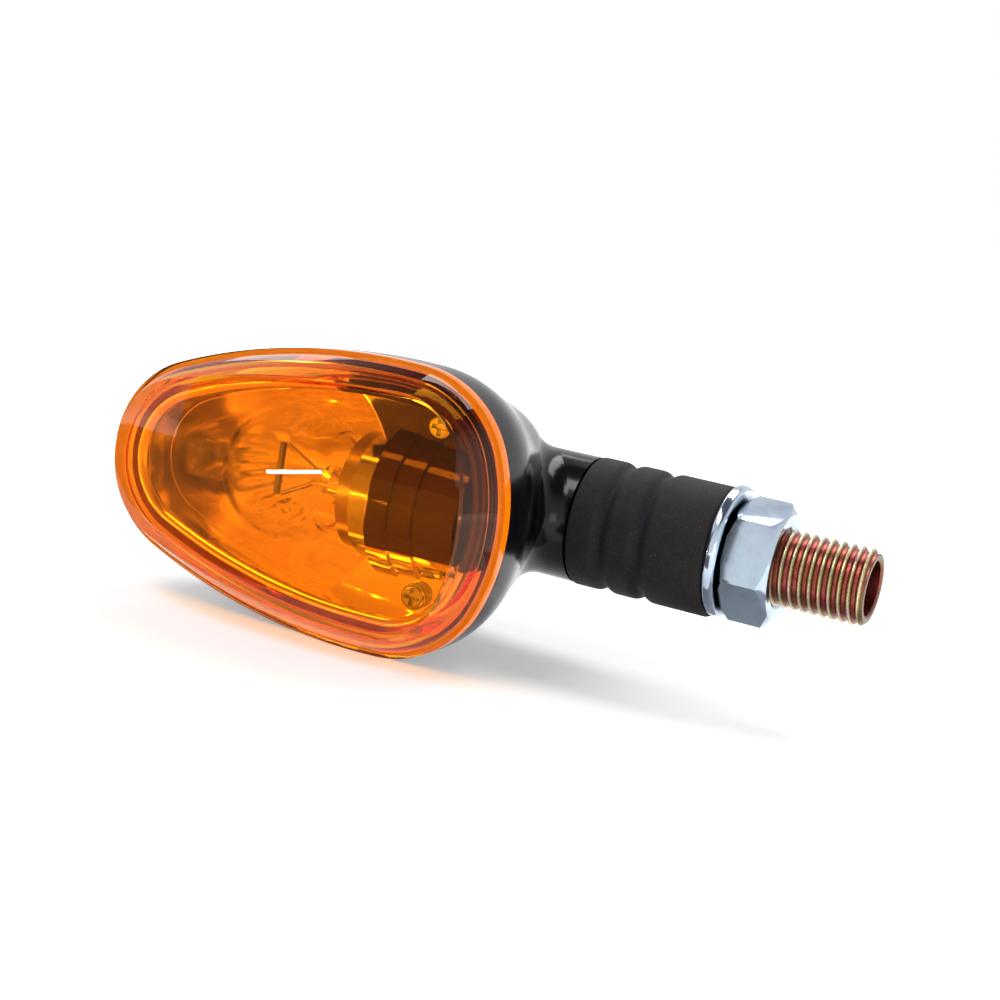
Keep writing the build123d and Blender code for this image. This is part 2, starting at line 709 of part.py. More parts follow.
PARTS = {
    "housing": housing, "rim_gasket": gasket, "lens": lens, "reflector": reflector,
    "reflector_screws": reflector_screws, "bulb_glass": bulb_glass, "bulb_stem": bulb_stem,
    "filament_supports": filament_supports, "filament": filament, "bulb_cap": bulb_cap,
    "bulb_insulator": bulb_insulator, "bulb_contact": bulb_contact, "bulb_socket": bulb_socket,
    "socket_insulator": socket_insulator, "contact_plunger": contact_plunger,
    "contact_spring": contact_spring, "earth_tag": earth_tag, "rubber_stem": rubber_stem,
    "stud": stud, "washer": washer, "nut": nut, "inner_stud": inner_stud,
    "inner_ring_nut": inner_ring_nut,
}

os.makedirs("parts", exist_ok=True)
for name, make in PARTS.items():
    shape = make()
    shape.label = name
    export_step(shape, "parts/" + name + ".step")
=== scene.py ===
import bpy
import bmesh
from math import atan2, cos, exp, pi, radians, sin, sqrt, tan
from mathutils import Matrix, Quaternion, Vector

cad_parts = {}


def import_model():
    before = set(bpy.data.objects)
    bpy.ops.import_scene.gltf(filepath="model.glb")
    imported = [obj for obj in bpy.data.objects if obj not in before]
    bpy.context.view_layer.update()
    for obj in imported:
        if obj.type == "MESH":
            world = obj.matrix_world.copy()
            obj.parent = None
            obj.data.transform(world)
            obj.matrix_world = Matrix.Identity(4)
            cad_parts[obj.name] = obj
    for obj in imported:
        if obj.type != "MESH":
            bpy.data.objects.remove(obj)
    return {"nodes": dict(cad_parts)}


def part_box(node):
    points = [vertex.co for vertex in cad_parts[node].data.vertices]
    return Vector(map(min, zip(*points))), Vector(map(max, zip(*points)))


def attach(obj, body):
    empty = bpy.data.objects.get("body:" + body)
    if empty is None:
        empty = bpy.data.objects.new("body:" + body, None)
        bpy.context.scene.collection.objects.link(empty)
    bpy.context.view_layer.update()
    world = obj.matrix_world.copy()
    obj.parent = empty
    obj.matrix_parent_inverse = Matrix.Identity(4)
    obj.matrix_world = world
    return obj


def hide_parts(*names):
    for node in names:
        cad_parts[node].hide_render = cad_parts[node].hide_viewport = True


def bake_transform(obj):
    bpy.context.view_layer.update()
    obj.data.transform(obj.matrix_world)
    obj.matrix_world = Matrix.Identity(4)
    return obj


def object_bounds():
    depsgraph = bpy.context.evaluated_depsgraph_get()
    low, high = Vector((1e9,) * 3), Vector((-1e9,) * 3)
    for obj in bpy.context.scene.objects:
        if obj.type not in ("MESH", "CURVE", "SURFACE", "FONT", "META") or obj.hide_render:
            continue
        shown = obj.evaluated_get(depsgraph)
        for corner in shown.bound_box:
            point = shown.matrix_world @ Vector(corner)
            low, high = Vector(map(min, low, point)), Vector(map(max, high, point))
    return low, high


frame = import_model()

# Motorcycle turn signal. Everything is in metres in the part's own frame: +X runs out of the
# threaded stud, the lens faces -Y and +Z is up. MM turns a size in millimetres into metres,
# and every constant below is in millimetres unless it says otherwise.
MM = 0.001
cad_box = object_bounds()
nodes = frame["nodes"]


# ---- places that the frame gives -----------------------------------------------------

def span(node, axis):
    """Lowest and highest place of a CAD node along one axis."""
    low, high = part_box(node)
    return low[axis] / MM, high[axis] / MM


X, Y, Z = range(3)
HEAD_TIP_X, HEAD_END_X = span("lens", X)
HEAD_HALF_HEIGHT = span("lens", Z)[1]
LENS_BACK_Y = span("lens", Y)[1]
RIM_Y = span("housing", Y)[0]
NECK_END_X = span("housing", X)[1]
GASKET_FRONT_Y = span("rim_gasket", Y)[0]
REFLECTOR_RIM_Y = span("reflector", Y)[0]
BULB_Y = sum(span("bulb_glass", Y)) / 2
RUBBER_INNER_X = span("rubber_stem", X)[0]
RUBBER_R = span("rubber_stem", Z)[1]
STUD_INNER_X, STUD_END_X = span("stud", X)
STUD_FLANGE_R = span("stud", Z)[1]
NUT_START_X, NUT_END_X = span("nut", X)
WASHER_INNER_X, WASHER_OUTER_X = span("washer", X)
WASHER_LOW_Z, WASHER_TOP_Z = span("washer", Z)
WASHER_R = (WASHER_TOP_Z - WASHER_LOW_Z) / 2
WASHER_Z = (WASHER_TOP_Z + WASHER_LOW_Z) / 2

# ---- the lamp head's teardrop outline, as tangent arcs ----
END_ARC_R = 26.0
CORNER_ARC_R = 13.7
SIDE_ARC_R = 78.0
TIP_ARC_R = 13.0
RING_POINTS = 264

# ---- lens; depths run forward from its seat on the seal ----
LENS_SEAT_Y = GASKET_FRONT_Y - 0.02
FLANGE_THICK = 1.6
LENS_WALL = 2.2
WALL_STEP = 0.5
WALL_LEAN = 0.30
WALL_CURVE = 0.02975
LENS_APEX_DEPTH = 9.0
LENS_LONG_R = 95.0
LENS_CROSS_R = 55.0
LENS_CREST_X = -42.0
SKIRT_INSET = 2.35
SKIRT_THICK = 1.3
SKIRT_END_Y = LENS_BACK_Y - 1.4
CREASE_R = 0.45
TAB_X = -48.3
TAB_HALF = 2.25
TAB_THICK = 0.75
TAB_OUTER_Z = 13.9
TAB_ROOT_Y = LENS_BACK_Y - 1.9

# ---- seal and rim bead; both stand a hair off the housing's rim ----
SEAL_BACK_Y = RIM_Y - 0.005
SEAL_INSET = 0.14
SEAL_LIP_INSET = 2.22
SEAL_LIP = 0.1
BEAD_BACK_Y = RIM_Y - 0.004
BEAD_FRONT_Y = GASKET_FRONT_Y + 0.02
RIM_BEAD = 0.12

# ---- reflector ----
REFLECTOR_INSET = 4.1
REFLECTOR_WALL = 1.1
LAND_INSET = 2.4
LAND_Y = (LENS_BACK_Y + 0.04, LENS_BACK_Y + 0.8)
# (way back from the rim, inset) of the tray's rounded lip
LIP_CURVE = [(-1.0, 0.3), (0.0, 0.35), (0.12, 0.55), (0.3, 0.8), (0.6, 1.0), (1.0, REFLECTOR_WALL)]
SHELF_Y = -20.5
SHELF_END_X = -37.5
BOWL_CENTRE = (-53.5, 0.0)
BOWL_RIGHT_R = 16.0
BOWL_DEPTH = 15.0
BOWL_POWER = 2.3
BOWL_GAP = 0.05
BOWL_RINGS = 44
LEDGE_X = -69.3
LEDGE_RISE = 1.3
LEDGE_WIDTH = 0.6
FLUTE_RISE = 0.35
FLUTES_ROUND = 34
FLUTE_HEADING = -2.3
FLUTE_BAND = (0.75, 0.22)
MASK_START_X = -52.0
MASK_FOOT_Z = -5.4
SATIN_X = (-59.0, -64.0)
SOCKET_STEP_X, SOCKET_END_X = -27.2, -23.8
SOCKET_R, SOCKET_CUP_R = 8.2, 5.0
SOCKET_AIR = 0.3
# (x, radius) steps of the half-round cover over the socket
COVER_STEPS = [(SHELF_END_X, 9.9), (-34.6, 9.9), (-34.4, 9.5), (-31.4, 9.5), (-31.2, 9.1),
               (SOCKET_STEP_X + 1.3, 9.1), (SOCKET_STEP_X + 1.5, 6.4), (SOCKET_END_X + 1.3, 6.4)]

# ---- rubber stem ----
RUBBER_NECK_X = NECK_END_X + 0.3
SPIGOT_R = 6.0
GROOVE_MIDDLES = (-14.0, -8.8)
GROOVE_HALF = 1.7
GROOVE_DEPTH = 0.6
GROOVE_SHADE_R = (8.35, 7.95)
INNER_HEAD_X = (-25.95, -23.95)
INNER_HEAD_R, INNER_SHANK_R = 5.1, 4.1

# ---- stud, washer and nut ----
STUD_R = 4.925
STUD_BORE_R = 3.5
STUD_SHANK_X = -2.5
THREAD_PITCH = 1.25
THREAD_DEPTH = 0.54
THREAD_START_X = -0.25
WASHER_BORE_R = 5.45
NUT_FLATS = 14.0
NUT_TURN_DEG = 16.0
NUT_CORNER_R = 6.75
NUT_CHAMFER_DEG = 40.0
NUT_EDGE_R = 0.26
NUT_BORE_R = 4.985
NUT_MOUTH = 0.4

# ---- studio, in metres ----
FLOOR_Z = cad_box[0][Z] - 0.0002
# the floor's own light, near the part and past the edge of its shadow
FLOOR_REACH = (0.16, 0.42)
FLOOR_GLOW = (0.3, 1.0)
CARD_Z = FLOOR_Z + 0.0001
CARD_TONE = "#646468"
# the tent from the horizon to straight overhead
TENT_LEVEL = 0.95
TENT_STOPS = [(0.0, "#FFFFFF"), (0.5, "#ECECF0"), (0.68, "#C4C4CC"), (0.8, "#66666E"),
              (1.0, "#5C5C64")]
# most steps of one light path, off gloss and through clear walls: what is seen of the reflector
# has crossed two lens walls and the bulb's glass on its way in and out
LIGHT_PATH_STEPS = (36, 16, 36)


# ---- small helpers -------------------------------------------------------------------

def linear(text):
    """An sRGB hex colour as linear RGBA."""
    parts = [int(text[i:i + 2], 16) / 255 for i in (1, 3, 5)]
    return [c / 12.92 if c <= 0.04045 else ((c + 0.055) / 1.055) ** 2.4 for c in parts] + [1.0]


def deselect():
    """Leaves edit mode and deselects everything."""
    if bpy.context.mode != "OBJECT":
        bpy.ops.object.mode_set(mode="OBJECT")
    bpy.ops.object.select_all(action="DESELECT")


def focus(obj):
    """Makes this the only selected and the active object."""
    deselect()
    obj.select_set(True)
    bpy.context.view_layer.objects.active = obj


def settle(obj):
    """Puts the object's own place and turn into its mesh."""
    focus(obj)
    bpy.ops.object.transform_apply(location=True, rotation=True, scale=True)


def modify(obj, kind, **settings):
    """Adds a modifier with its settings and applies it."""
    focus(obj)
    change = obj.modifiers.new(kind.title(), kind)
    for name, value in settings.items():
        setattr(change, name, value)
    bpy.ops.object.modifier_apply(modifier=change.name)


def smooth(obj, angle):
    """Smooth shading, but for edges that turn by more than an angle in degrees."""
    focus(obj)
    bpy.ops.object.shade_smooth_by_angle(angle=radians(angle))


def clean(obj):
    """Joins doubled corners and turns all faces outwards."""
    focus(obj)
    bpy.ops.object.mode_set(mode="EDIT")
    bpy.ops.mesh.select_all(action="SELECT")
    bpy.ops.mesh.remove_doubles(threshold=0.002 * MM)
    bpy.ops.mesh.normals_make_consistent(inside=False)
    bpy.ops.object.mode_set(mode="OBJECT")


def loft(name, rings):
    """A ring of corners is extruded through each ring of points in turn, and both ends close."""
    deselect()
    count = len(rings[0])
    bpy.ops.mesh.primitive_circle_add(vertices=count, fill_type="NGON")
    obj = bpy.context.object
    obj.name = obj.data.name = name
    spot = obj.data.attributes.new("spot", "INT", "POINT")
    spot.data.foreach_set("value", list(range(count)))
    bpy.ops.object.mode_set(mode="EDIT")
    bpy.ops.mesh.select_all(action="SELECT")
    for number, ring in enumerate(rings):
        if number:
            bpy.ops.mesh.extrude_region_move()
        shape = bmesh.from_edit_mesh(obj.data)
        layer = shape.verts.layers.int["spot"]
        for corner in shape.verts:
            if corner.select:
                corner.co = ring[corner[layer]]
        bmesh.update_edit_mesh(obj.data)
    bpy.ops.mesh.select_all(action="SELECT")
    bpy.ops.mesh.normals_make_consistent(inside=False)
    bpy.ops.object.mode_set(mode="OBJECT")
    obj.data.attributes.remove(obj.data.attributes["spot"])
    return obj


def ring_loft(name, rings):
    """A closed ring shape: the last ring of points is joined back to the first."""
    obj = loft(name, rings)
    focus(obj)
    bpy.ops.object.mode_set(mode="EDIT")
    bpy.ops.mesh.select_mode(type="FACE")
    bpy.ops.mesh.select_all(action="DESELECT")
    shape = bmesh.from_edit_mesh(obj.data)
    for face in shape.faces:
        face.select = len(face.verts) > 4
    bmesh.update_edit_mesh(obj.data)
    bpy.ops.mesh.bridge_edge_loops()
    bpy.ops.mesh.select_mode(type="VERT")
    clean(obj)
    return obj


def turned(name, profile, steps=96, y=0.0):
    """A solid lathe shape about a line along X, from (x, radius) corners."""
    turn = [2 * pi * i / steps for i in range(steps)]
    return loft(name, [[Vector((x, y + r * cos(t), r * sin(t))) * MM for t in turn]
                       for x, r in profile])


def eased(corners, steps=6):
    """A closed profile from (x, radius, rounding) corners, each rounding drawn as an arc."""
    spots = []
    for i, (x, r, ease) in enumerate(corners):
        here = Vector((x, r))
        if not ease:
            spots.append((x, r))
            continue
        before = (Vector(corners[i - 1][:2]) - here).normalized()
        after = (Vector(corners[(i + 1) % len(corners)][:2]) - here).normalized()
        half = before.angle(after) / 2
        middle = here + (before + after).normalized() * (ease / sin(half))
        first = here + before * (ease / tan(half)) - middle
        swing = first.angle_signed(here + after * (ease / tan(half)) - middle)
        for k in range(steps + 1):
            arm = first.copy()
            arm.rotate(Matrix.Rotation(-swing * k / steps, 2))
            spots.append(tuple(middle + arm))
    return spots


def drawn(name, profile, z=0.0):
    """A closed line of (x, radius) corners, standing up from a line along X at height z."""
    deselect()
    bpy.ops.mesh.primitive_circle_add(vertices=len(profile), fill_type="NOTHING")
    obj = bpy.context.object
    obj.name = obj.data.name = name
    for corner, (x, r) in zip(obj.data.vertices, profile):
        corner.co = Vector((x, 0.0, z + r)) * MM
    return obj


def spun(name, profile, z=0.0):
    """A ring shape: a closed (x, radius) profile is spun about a line along X at height z."""
    obj = drawn(name, profile, z)
    bpy.ops.object.mode_set(mode="EDIT")
    bpy.ops.mesh.select_all(action="SELECT")
    bpy.ops.mesh.spin(steps=128, angle=2 * pi, center=(0, 0, z * MM), axis=(1, 0, 0))
    clean(obj)
    return obj


def carve(obj, tool, operation="DIFFERENCE"):
    """Cuts, joins or trims a piece with another one, which is then deleted."""
    modify(obj, "BOOLEAN", operation=operation, object=tool, solver="EXACT")
    bpy.data.objects.remove(tool)


def slice_off(obj, place, heading):
    """Cuts away what lies ahead of a plane and closes the cut."""
    focus(obj)
    bpy.ops.object.mode_set(mode="EDIT")
    bpy.ops.mesh.select_all(action="SELECT")
    bpy.ops.mesh.bisect(plane_co=Vector(place) * MM, plane_no=heading, use_fill=True,
                        clear_outer=True)
    bpy.ops.object.mode_set(mode="OBJECT")


def finish_piece(obj, material, body, slot, *replaced):
    """Gives a finished piece its material and body, and hides the CAD nodes it stands for; slot is
    not used.
    """
    obj.data.materials.clear()
    obj.data.materials.append(material)
    if body:
        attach(obj, body)
    if replaced:
        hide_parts(*replaced)


# ---- the teardrop --------------------------------------------------------------------

def tangent_point(c1, r1, c2, r2):
    """Upper crossing of two circles."""
    dx, dz = c2[0] - c1[0], c2[1] - c1[1]
    d = sqrt(dx * dx + dz * dz)
    a = (r1 * r1 - r2 * r2 + d * d) / (2 * d)
    h = sqrt(r1 * r1 - a * a)
    p = (c1[0] + (a * dx - h * dz) / d, c1[1] + (a * dz + h * dx) / d)
    q = (c1[0] + (a * dx + h * dz) / d, c1[1] + (a * dz - h * dx) / d)
    return p if p[1] > q[1] else q


def teardrop_spots():
    """(arc centre x, arc centre z, arc radius, heading) for each point round the outline."""
    end = (HEAD_END_X - END_ARC_R, 0.0)
    tip = (HEAD_TIP_X + TIP_ARC_R, 0.0)
    drop = SIDE_ARC_R - HEAD_HALF_HEIGHT
    side = (tip[0] + sqrt((SIDE_ARC_R - TIP_ARC_R) ** 2 - drop ** 2), -drop)
    corner = tangent_point(side, SIDE_ARC_R - CORNER_ARC_R, end, END_ARC_R - CORNER_ARC_R)

    def heading(a, b):
        return atan2(b[1] - a[1], b[0] - a[0])

    a1, a2, a3 = heading(end, corner), heading(side, corner), heading(side, tip)
    upper = [(end, END_ARC_R, 0.0, a1), (corner, CORNER_ARC_R, a1, a2),
             (side, SIDE_ARC_R, a2, a3), (tip, TIP_ARC_R, a3, pi)]
    length = sum(r * (stop - start) for _, r, start, stop in upper)
    half = []
    for i in range(RING_POINTS // 2):
        walk = length * i / (RING_POINTS // 2)
        for c, r, start, stop in upper:
            if walk <= r * (stop - start):
                half.append((c[0], c[1], r, start + walk / r))
                break
            walk -= r * (stop - start)
    tip_spot = (tip[0], tip[1], TIP_ARC_R, pi)
    lower = [(x, -z, r, -a) for x, z, r, a in half[1:]]
    return half + [tip_spot] + lower[::-1]


SPOTS = teardrop_spots()


def on_outline(spot, inset):
    """A point of the outline drawn in by inset, as (x, z)."""
    x, z, r, a = spot
    return x + (r - inset) * cos(a), z + (r - inset) * sin(a)


def outline_ring(y, inset):
    """The whole outline drawn in by inset, at one y."""
    return [Vector((x, y, z)) * MM for x, z in (on_outline(s, inset) for s in SPOTS)]


def outline_rings(*places):
    """One ring of the outline for each (y, inset)."""
    return [outline_ring(y, inset) for y, inset in places]


# ---- lens ----------------------------------------------------------------------------

def wall_inset(depth):
    """How far the lens's side wall has drawn in at a depth in front of its seat."""
    lean = WALL_LEAN * (depth - FLANGE_THICK)
    return WALL_STEP + lean + WALL_CURVE * (depth ** 2 - FLANGE_THICK ** 2)


def dome_depth(x, z, shrink):
    """Depth of the lens's domed face, or of its inner face with shrink."""
    long_r, cross_r = LENS_LONG_R - shrink, LENS_CROSS_R - shrink
    sag = long_r - sqrt(long_r ** 2 - (x - LENS_CREST_X) ** 2)
    radius = cross_r - sag
    return LENS_APEX_DEPTH - shrink - sag - (radius - sqrt(radius ** 2 - z ** 2))


def crease_depth(spot, shrink):
    """Where the side wall meets the domed face."""
    low, high = FLANGE_THICK, LENS_APEX_DEPTH
    for _ in range(40):
        middle = (low + high) / 2
        x, z = on_outline(spot, wall_inset(middle) + shrink)
        if dome_depth(x, z, shrink) > middle:
            low = middle
        else:
            high = middle
    return low


def lens_wall_rings(shrink, steps=7):
    """Rings up the side wall, evenly from the flange to the crease."""
    creases = [crease_depth(s, shrink) for s in SPOTS]
    rings = []
    for i in range(steps + 1):
        ring = []
        for spot, crease in zip(SPOTS, creases):
            depth = FLANGE_THICK + (crease - FLANGE_THICK) * i / steps
            x, z = on_outline(spot, wall_inset(depth) + shrink)
            ring.append(Vector((x, LENS_SEAT_Y - depth, z)) * MM)
        rings.append(ring)
    return rings


def lens_dome_rings(crease_ring, shrink, steps=22):
    """Rings over the domed face, from near the crease to near its middle."""
    rings = []
    for i in range(1, steps):
        share = 1 - i / steps
        ring = []
        for corner in crease_ring:
            x = LENS_CREST_X + (corner.x / MM - LENS_CREST_X) * share
            z = corner.z / MM * share
            ring.append(Vector((x, LENS_SEAT_Y - dome_depth(x, z, shrink), z)) * MM)
        rings.append(ring)
    return rings


def snap_tab(side):
    """A tongue behind the skirt that holds the lens in the housing."""
    x0, x1 = TAB_X - TAB_HALF, TAB_X + TAB_HALF
    z0, z1 = sorted((side * TAB_OUTER_Z, side * (TAB_OUTER_Z - TAB_THICK)))
    face = [(x0, z0), (x1, z0), (x1, z1), (x0, z1)]
    return loft("snap_tab", [[Vector((x, y, z)) * MM for x, z in face]
                             for y in (TAB_ROOT_Y, LENS_BACK_Y)])


def lens(material):
    """The lens as one shell: domed face and wall outside, flange, skirt, then the inside.

    The bevel's overlap limit holds its edges to about 0.03 mm, far under CREASE_R.
    """
    outer_wall = lens_wall_rings(0.0)
    inner_wall = lens_wall_rings(LENS_WALL)
    rings = lens_dome_rings(outer_wall[-1], 0.0)[::-1] + outer_wall[::-1]
    rings += outline_rings((LENS_SEAT_Y - FLANGE_THICK, 0.0), (LENS_SEAT_Y, 0.0),
                           (LENS_SEAT_Y, SKIRT_INSET), (SKIRT_END_Y, SKIRT_INSET),
                           (SKIRT_END_Y, SKIRT_INSET + SKIRT_THICK))
    rings += inner_wall + lens_dome_rings(inner_wall[-1], LENS_WALL)
    obj = loft("lens_shell", rings)
    for side in (1, -1):
        carve(obj, snap_tab(side), "UNION")
    modify(obj, "BEVEL", width=CREASE_R * MM, segments=4, limit_method="ANGLE",
           angle_limit=radians(22))
    smooth(obj, 60)
    finish_piece(obj, material, "lens_cover", "amber_pmma", "lens")


def rim_seal(material):
    """The foam ring that the lens is pressed onto, with a thin lip inside the housing's wall."""
    obj = ring_loft("rim_seal", outline_rings(
        (SEAL_BACK_Y, SEAL_INSET), (GASKET_FRONT_Y, SEAL_INSET),
        (GASKET_FRONT_Y, SEAL_LIP_INSET + SEAL_LIP), (LENS_BACK_Y, SEAL_LIP_INSET + SEAL_LIP),
        (LENS_BACK_Y, SEAL_LIP_INSET), (SEAL_BACK_Y, SEAL_LIP_INSET)))
    smooth(obj, 40)
    finish_piece(obj, material, "head", "rim_silicone", "rim_gasket")


def rim_bead(material):
    """The housing's thin raised edge, which hides the seal from the side."""
    obj = ring_loft("rim_bead", outline_rings((BEAD_BACK_Y, 0.0), (BEAD_FRONT_Y, 0.0),
                                              (BEAD_FRONT_Y, RIM_BEAD), (BEAD_BACK_Y, RIM_BEAD)))
    smooth(obj, 40)
    finish_piece(obj, material, "head", "black_abs")


# ---- reflector -----------------------------------------------------------------------

def teardrop_block(name, y0, y1, inset):
    """A solid teardrop between two places along Y."""
    return loft(name, outline_rings((y0, inset), (y1, inset)))


def bowl_ripple(x, z, share):
    """Rise of the tip's wavy ledge and of the flutes in the lower left of the bowl.

    share is how far out a place is, from 0 at the bowl's pole to 1 at its edge, where both fade.
    """
    off_ledge = x - LEDGE_X - 0.05 * z + 0.5 * sin(z * 0.8)
    ledge = LEDGE_RISE * exp(-(off_ledge / LEDGE_WIDTH) ** 2) * min(1.0, (1 - share) * 12)
    turn = atan2(z, x - BOWL_CENTRE[0])
    band, half_band = FLUTE_BAND
    fade = max(0.0, cos(turn - FLUTE_HEADING)) ** 3
    fade *= max(0.0, 1 - abs(share - band) / half_band)
    return ledge + FLUTE_RISE * fade * sin(turn * FLUTES_ROUND)


def bowl_block(name, top_y, grow, rippled=False):
    """The bowl as a solid: the teardrop, cut by an arc round the bulb, sinking to a pole."""
    cx, cz = BOWL_CENTRE
    edge = []
    for spot in SPOTS:
        x, z = on_outline(spot, REFLECTOR_INSET + REFLECTOR_WALL + BOWL_GAP - grow)
        away = sqrt((x - cx) ** 2 + (z - cz) ** 2)
        trim = min(1.0, (BOWL_RIGHT_R + grow) / away) if x > cx else 1.0
        edge.append(((x - cx) * trim, (z - cz) * trim))
    rings = [[Vector((cx + x, top_y, cz + z)) * MM for x, z in edge]]
    for i in range(BOWL_RINGS):
        # the rings lie closer together towards the edge
        share = sin(pi / 2 * (1 - i / BOWL_RINGS) ** 0.8)
        sink = (BOWL_DEPTH + grow) * (1 - share ** BOWL_POWER) ** (1 / BOWL_POWER)
        ring = []
        for x, z in edge:
            px, pz = cx + x * share, cz + z * share
            rise = bowl_ripple(px, pz, share) if rippled else 0.0
            ring.append(Vector((px, SHELF_Y + sink - rise, pz)) * MM)
        rings.append(ring)
    return loft(name, rings)


def reflector(material):
    """A teardrop tray with a land round it, a bowl, and a cover over the bulb's socket.

    Each tool runs past what it cuts, so that no two faces share a plane.
    """
    wall = REFLECTOR_WALL
    body = teardrop_block("reflector_shell", REFLECTOR_RIM_Y, SHELF_Y + wall, REFLECTOR_INSET)
    carve(body, teardrop_block("land", *LAND_Y, LAND_INSET), "UNION")
    tray = [(REFLECTOR_RIM_Y + back, REFLECTOR_INSET + inset) for back, inset in LIP_CURVE]
    carve(body, loft("tray", outline_rings(*tray, (SHELF_Y, REFLECTOR_INSET + wall))))
    carve(body, bowl_block("bowl_outside", SHELF_Y + 0.1, wall), "UNION")
    cover = turned("socket_cover", COVER_STEPS, y=BULB_Y)
    slice_off(cover, (0, SHELF_Y + 0.5 * wall, 0), (0, 1, 0))
    carve(cover, teardrop_block("cover_trim", REFLECTOR_RIM_Y - 6, SHELF_Y + wall,
                                REFLECTOR_INSET + 0.5), "INTERSECT")
    carve(body, cover, "UNION")
    carve(body, bowl_block("bowl_inside", SHELF_Y - 0.6, 0.0, rippled=True))
    wide, narrow = SOCKET_R + SOCKET_AIR, SOCKET_CUP_R + SOCKET_AIR
    room = [(SHELF_END_X - 6, wide), (SOCKET_STEP_X + SOCKET_AIR, wide),
            (SOCKET_STEP_X + SOCKET_AIR + 0.01, narrow), (SOCKET_END_X + SOCKET_AIR, narrow)]
    carve(body, turned("socket_room", room, y=BULB_Y))
    smooth(body, 35)
    finish_piece(body, material, "head", "metallised_abs", "reflector")


# ---- rubber stem, stud, washer and nut -----------------------------------------------

def rubber_radius(x):
    """The stem's radius: full, but for two soft grooves."""
    for middle in GROOVE_MIDDLES:
        away = abs(x - middle) / GROOVE_HALF
        if away < 1:
            return RUBBER_R - GROOVE_DEPTH * (0.5 + 0.5 * cos(pi * away)) ** 1.6
    return RUBBER_R


def rubber_stem(material):
    """The grooved rubber, hollow where it is moulded round the stud and the inner stud's head.
    """
    first, last, steps = -1.0, RUBBER_NECK_X + 0.5, 104
    along = [first + (last - first) * i / steps for i in range(steps + 1)]
    skin = [(x, rubber_radius(x), 0) for x in along]
    head_x0, head_x1 = INNER_HEAD_X
    ends = [(RUBBER_NECK_X, RUBBER_R, 0.3), (RUBBER_NECK_X, SPIGOT_R, 0),
            (RUBBER_INNER_X, SPIGOT_R, 0.3), (RUBBER_INNER_X, INNER_SHANK_R, 0)]
    hollow = [(head_x0, INNER_SHANK_R, 0), (head_x0, INNER_HEAD_R, 0),
              (head_x1, INNER_HEAD_R, 0), (head_x1, STUD_BORE_R, 0),
              (STUD_INNER_X, STUD_BORE_R, 0), (STUD_INNER_X, STUD_FLANGE_R, 0),
              (STUD_SHANK_X, STUD_FLANGE_R, 0), (STUD_SHANK_X, STUD_R, 0), (0.0, STUD_R, 0)]
    obj = spun("rubber_flex_stem", eased([(0.0, RUBBER_R, 0.6)] + skin + ends + hollow))
    smooth(obj, 50)
    finish_piece(obj, material, "", "epdm", "rubber_stem")
    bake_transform(obj)


def thread_helix():
    """One pitch of the rolled thread's profile, wound along the stud and cut square at its ends."""
    crest_r, root_r = STUD_R, STUD_R - THREAD_DEPTH
    pitch = [(0.0, crest_r - 0.05), (0.04, crest_r), (0.15, crest_r), (0.19, crest_r - 0.05),
             (0.44, root_r + 0.05), (0.50, root_r), (0.85, root_r), (0.91, root_r + 0.05),
             (1.16, crest_r - 0.14), (THREAD_PITCH, crest_r - 0.05)]
    start_x = THREAD_START_X - 3 * THREAD_PITCH
    obj = drawn("threaded_stud", [(start_x + x, r) for x, r in pitch])
    bpy.ops.object.mode_set(mode="EDIT")
    bpy.ops.mesh.select_all(action="DESELECT")
    shape = bmesh.from_edit_mesh(obj.data)
    for edge in shape.edges:
        edge.select = {v.index for v in edge.verts} == {0, len(pitch) - 1}
    bmesh.update_edit_mesh(obj.data)
    bpy.ops.mesh.delete(type="EDGE_FACE")
    bpy.ops.object.mode_set(mode="OBJECT")
    turns = int((STUD_END_X - start_x) / THREAD_PITCH) + 3
    modify(obj, "SCREW", axis="X", angle=2 * pi, screw_offset=THREAD_PITCH * MM,
           iterations=turns, steps=72, render_steps=72, use_merge_vertices=True,
           merge_threshold=0.001 * MM)
    clean(obj)
    slice_off(obj, (STUD_END_X + 0.3, 0, 0), (1, 0, 0))
    slice_off(obj, (THREAD_START_X - 0.317, 0, 0), (-1, 0, 0))
    clean(obj)
    return obj


def threaded_stud(material):
    """The hollow stud: a thread trimmed to a chamfered tube, and the smooth root in the rubber."""
    obj = thread_helix()
    x0, x1 = THREAD_START_X, STUD_END_X
    over_r = STUD_R + 0.4
    tube = [(x0, STUD_BORE_R, 0), (x0, over_r, 0), (x1 - 0.95, over_r, 0), (x1 - 0.7, STUD_R, 0),
            (x1, STUD_R - 0.62, 0.12), (x1, STUD_BORE_R + 0.25, 0.1), (x1 - 0.25, STUD_BORE_R, 0)]
    carve(obj, spun("stud_tube", eased(tube)), "INTERSECT")
    root_end_x, root_r = x0 - 0.01, STUD_R - 0.05
    root = [(STUD_INNER_X, STUD_BORE_R, 0), (STUD_INNER_X, STUD_FLANGE_R, 0.2),
            (STUD_SHANK_X, STUD_FLANGE_R, 0.2), (STUD_SHANK_X, root_r, 0),
            (root_end_x, root_r, 0), (root_end_x, STUD_BORE_R, 0)]
    root = spun("stud_root", eased(root))
    focus(obj)
    root.select_set(True)
    bpy.ops.object.join()
    smooth(obj, 35)
    finish_piece(obj, material, "mount", "yellow_chromate_steel", "stud")


def washer(material):
    """A punched washer: rolled over at its outer edge, sharper at the bore."""
    x0, x1 = WASHER_INNER_X, WASHER_OUTER_X
    corners = [(x0, WASHER_BORE_R, 0.1), (x0, WASHER_R, 0.5), (x1, WASHER_R, 0.7),
               (x1, WASHER_BORE_R, 0.25)]
    obj = spun("flat_washer", eased(corners, 8), z=WASHER_Z)
    smooth(obj, 40)
    finish_piece(obj, material, "washer_body", "zinc_steel", "washer")


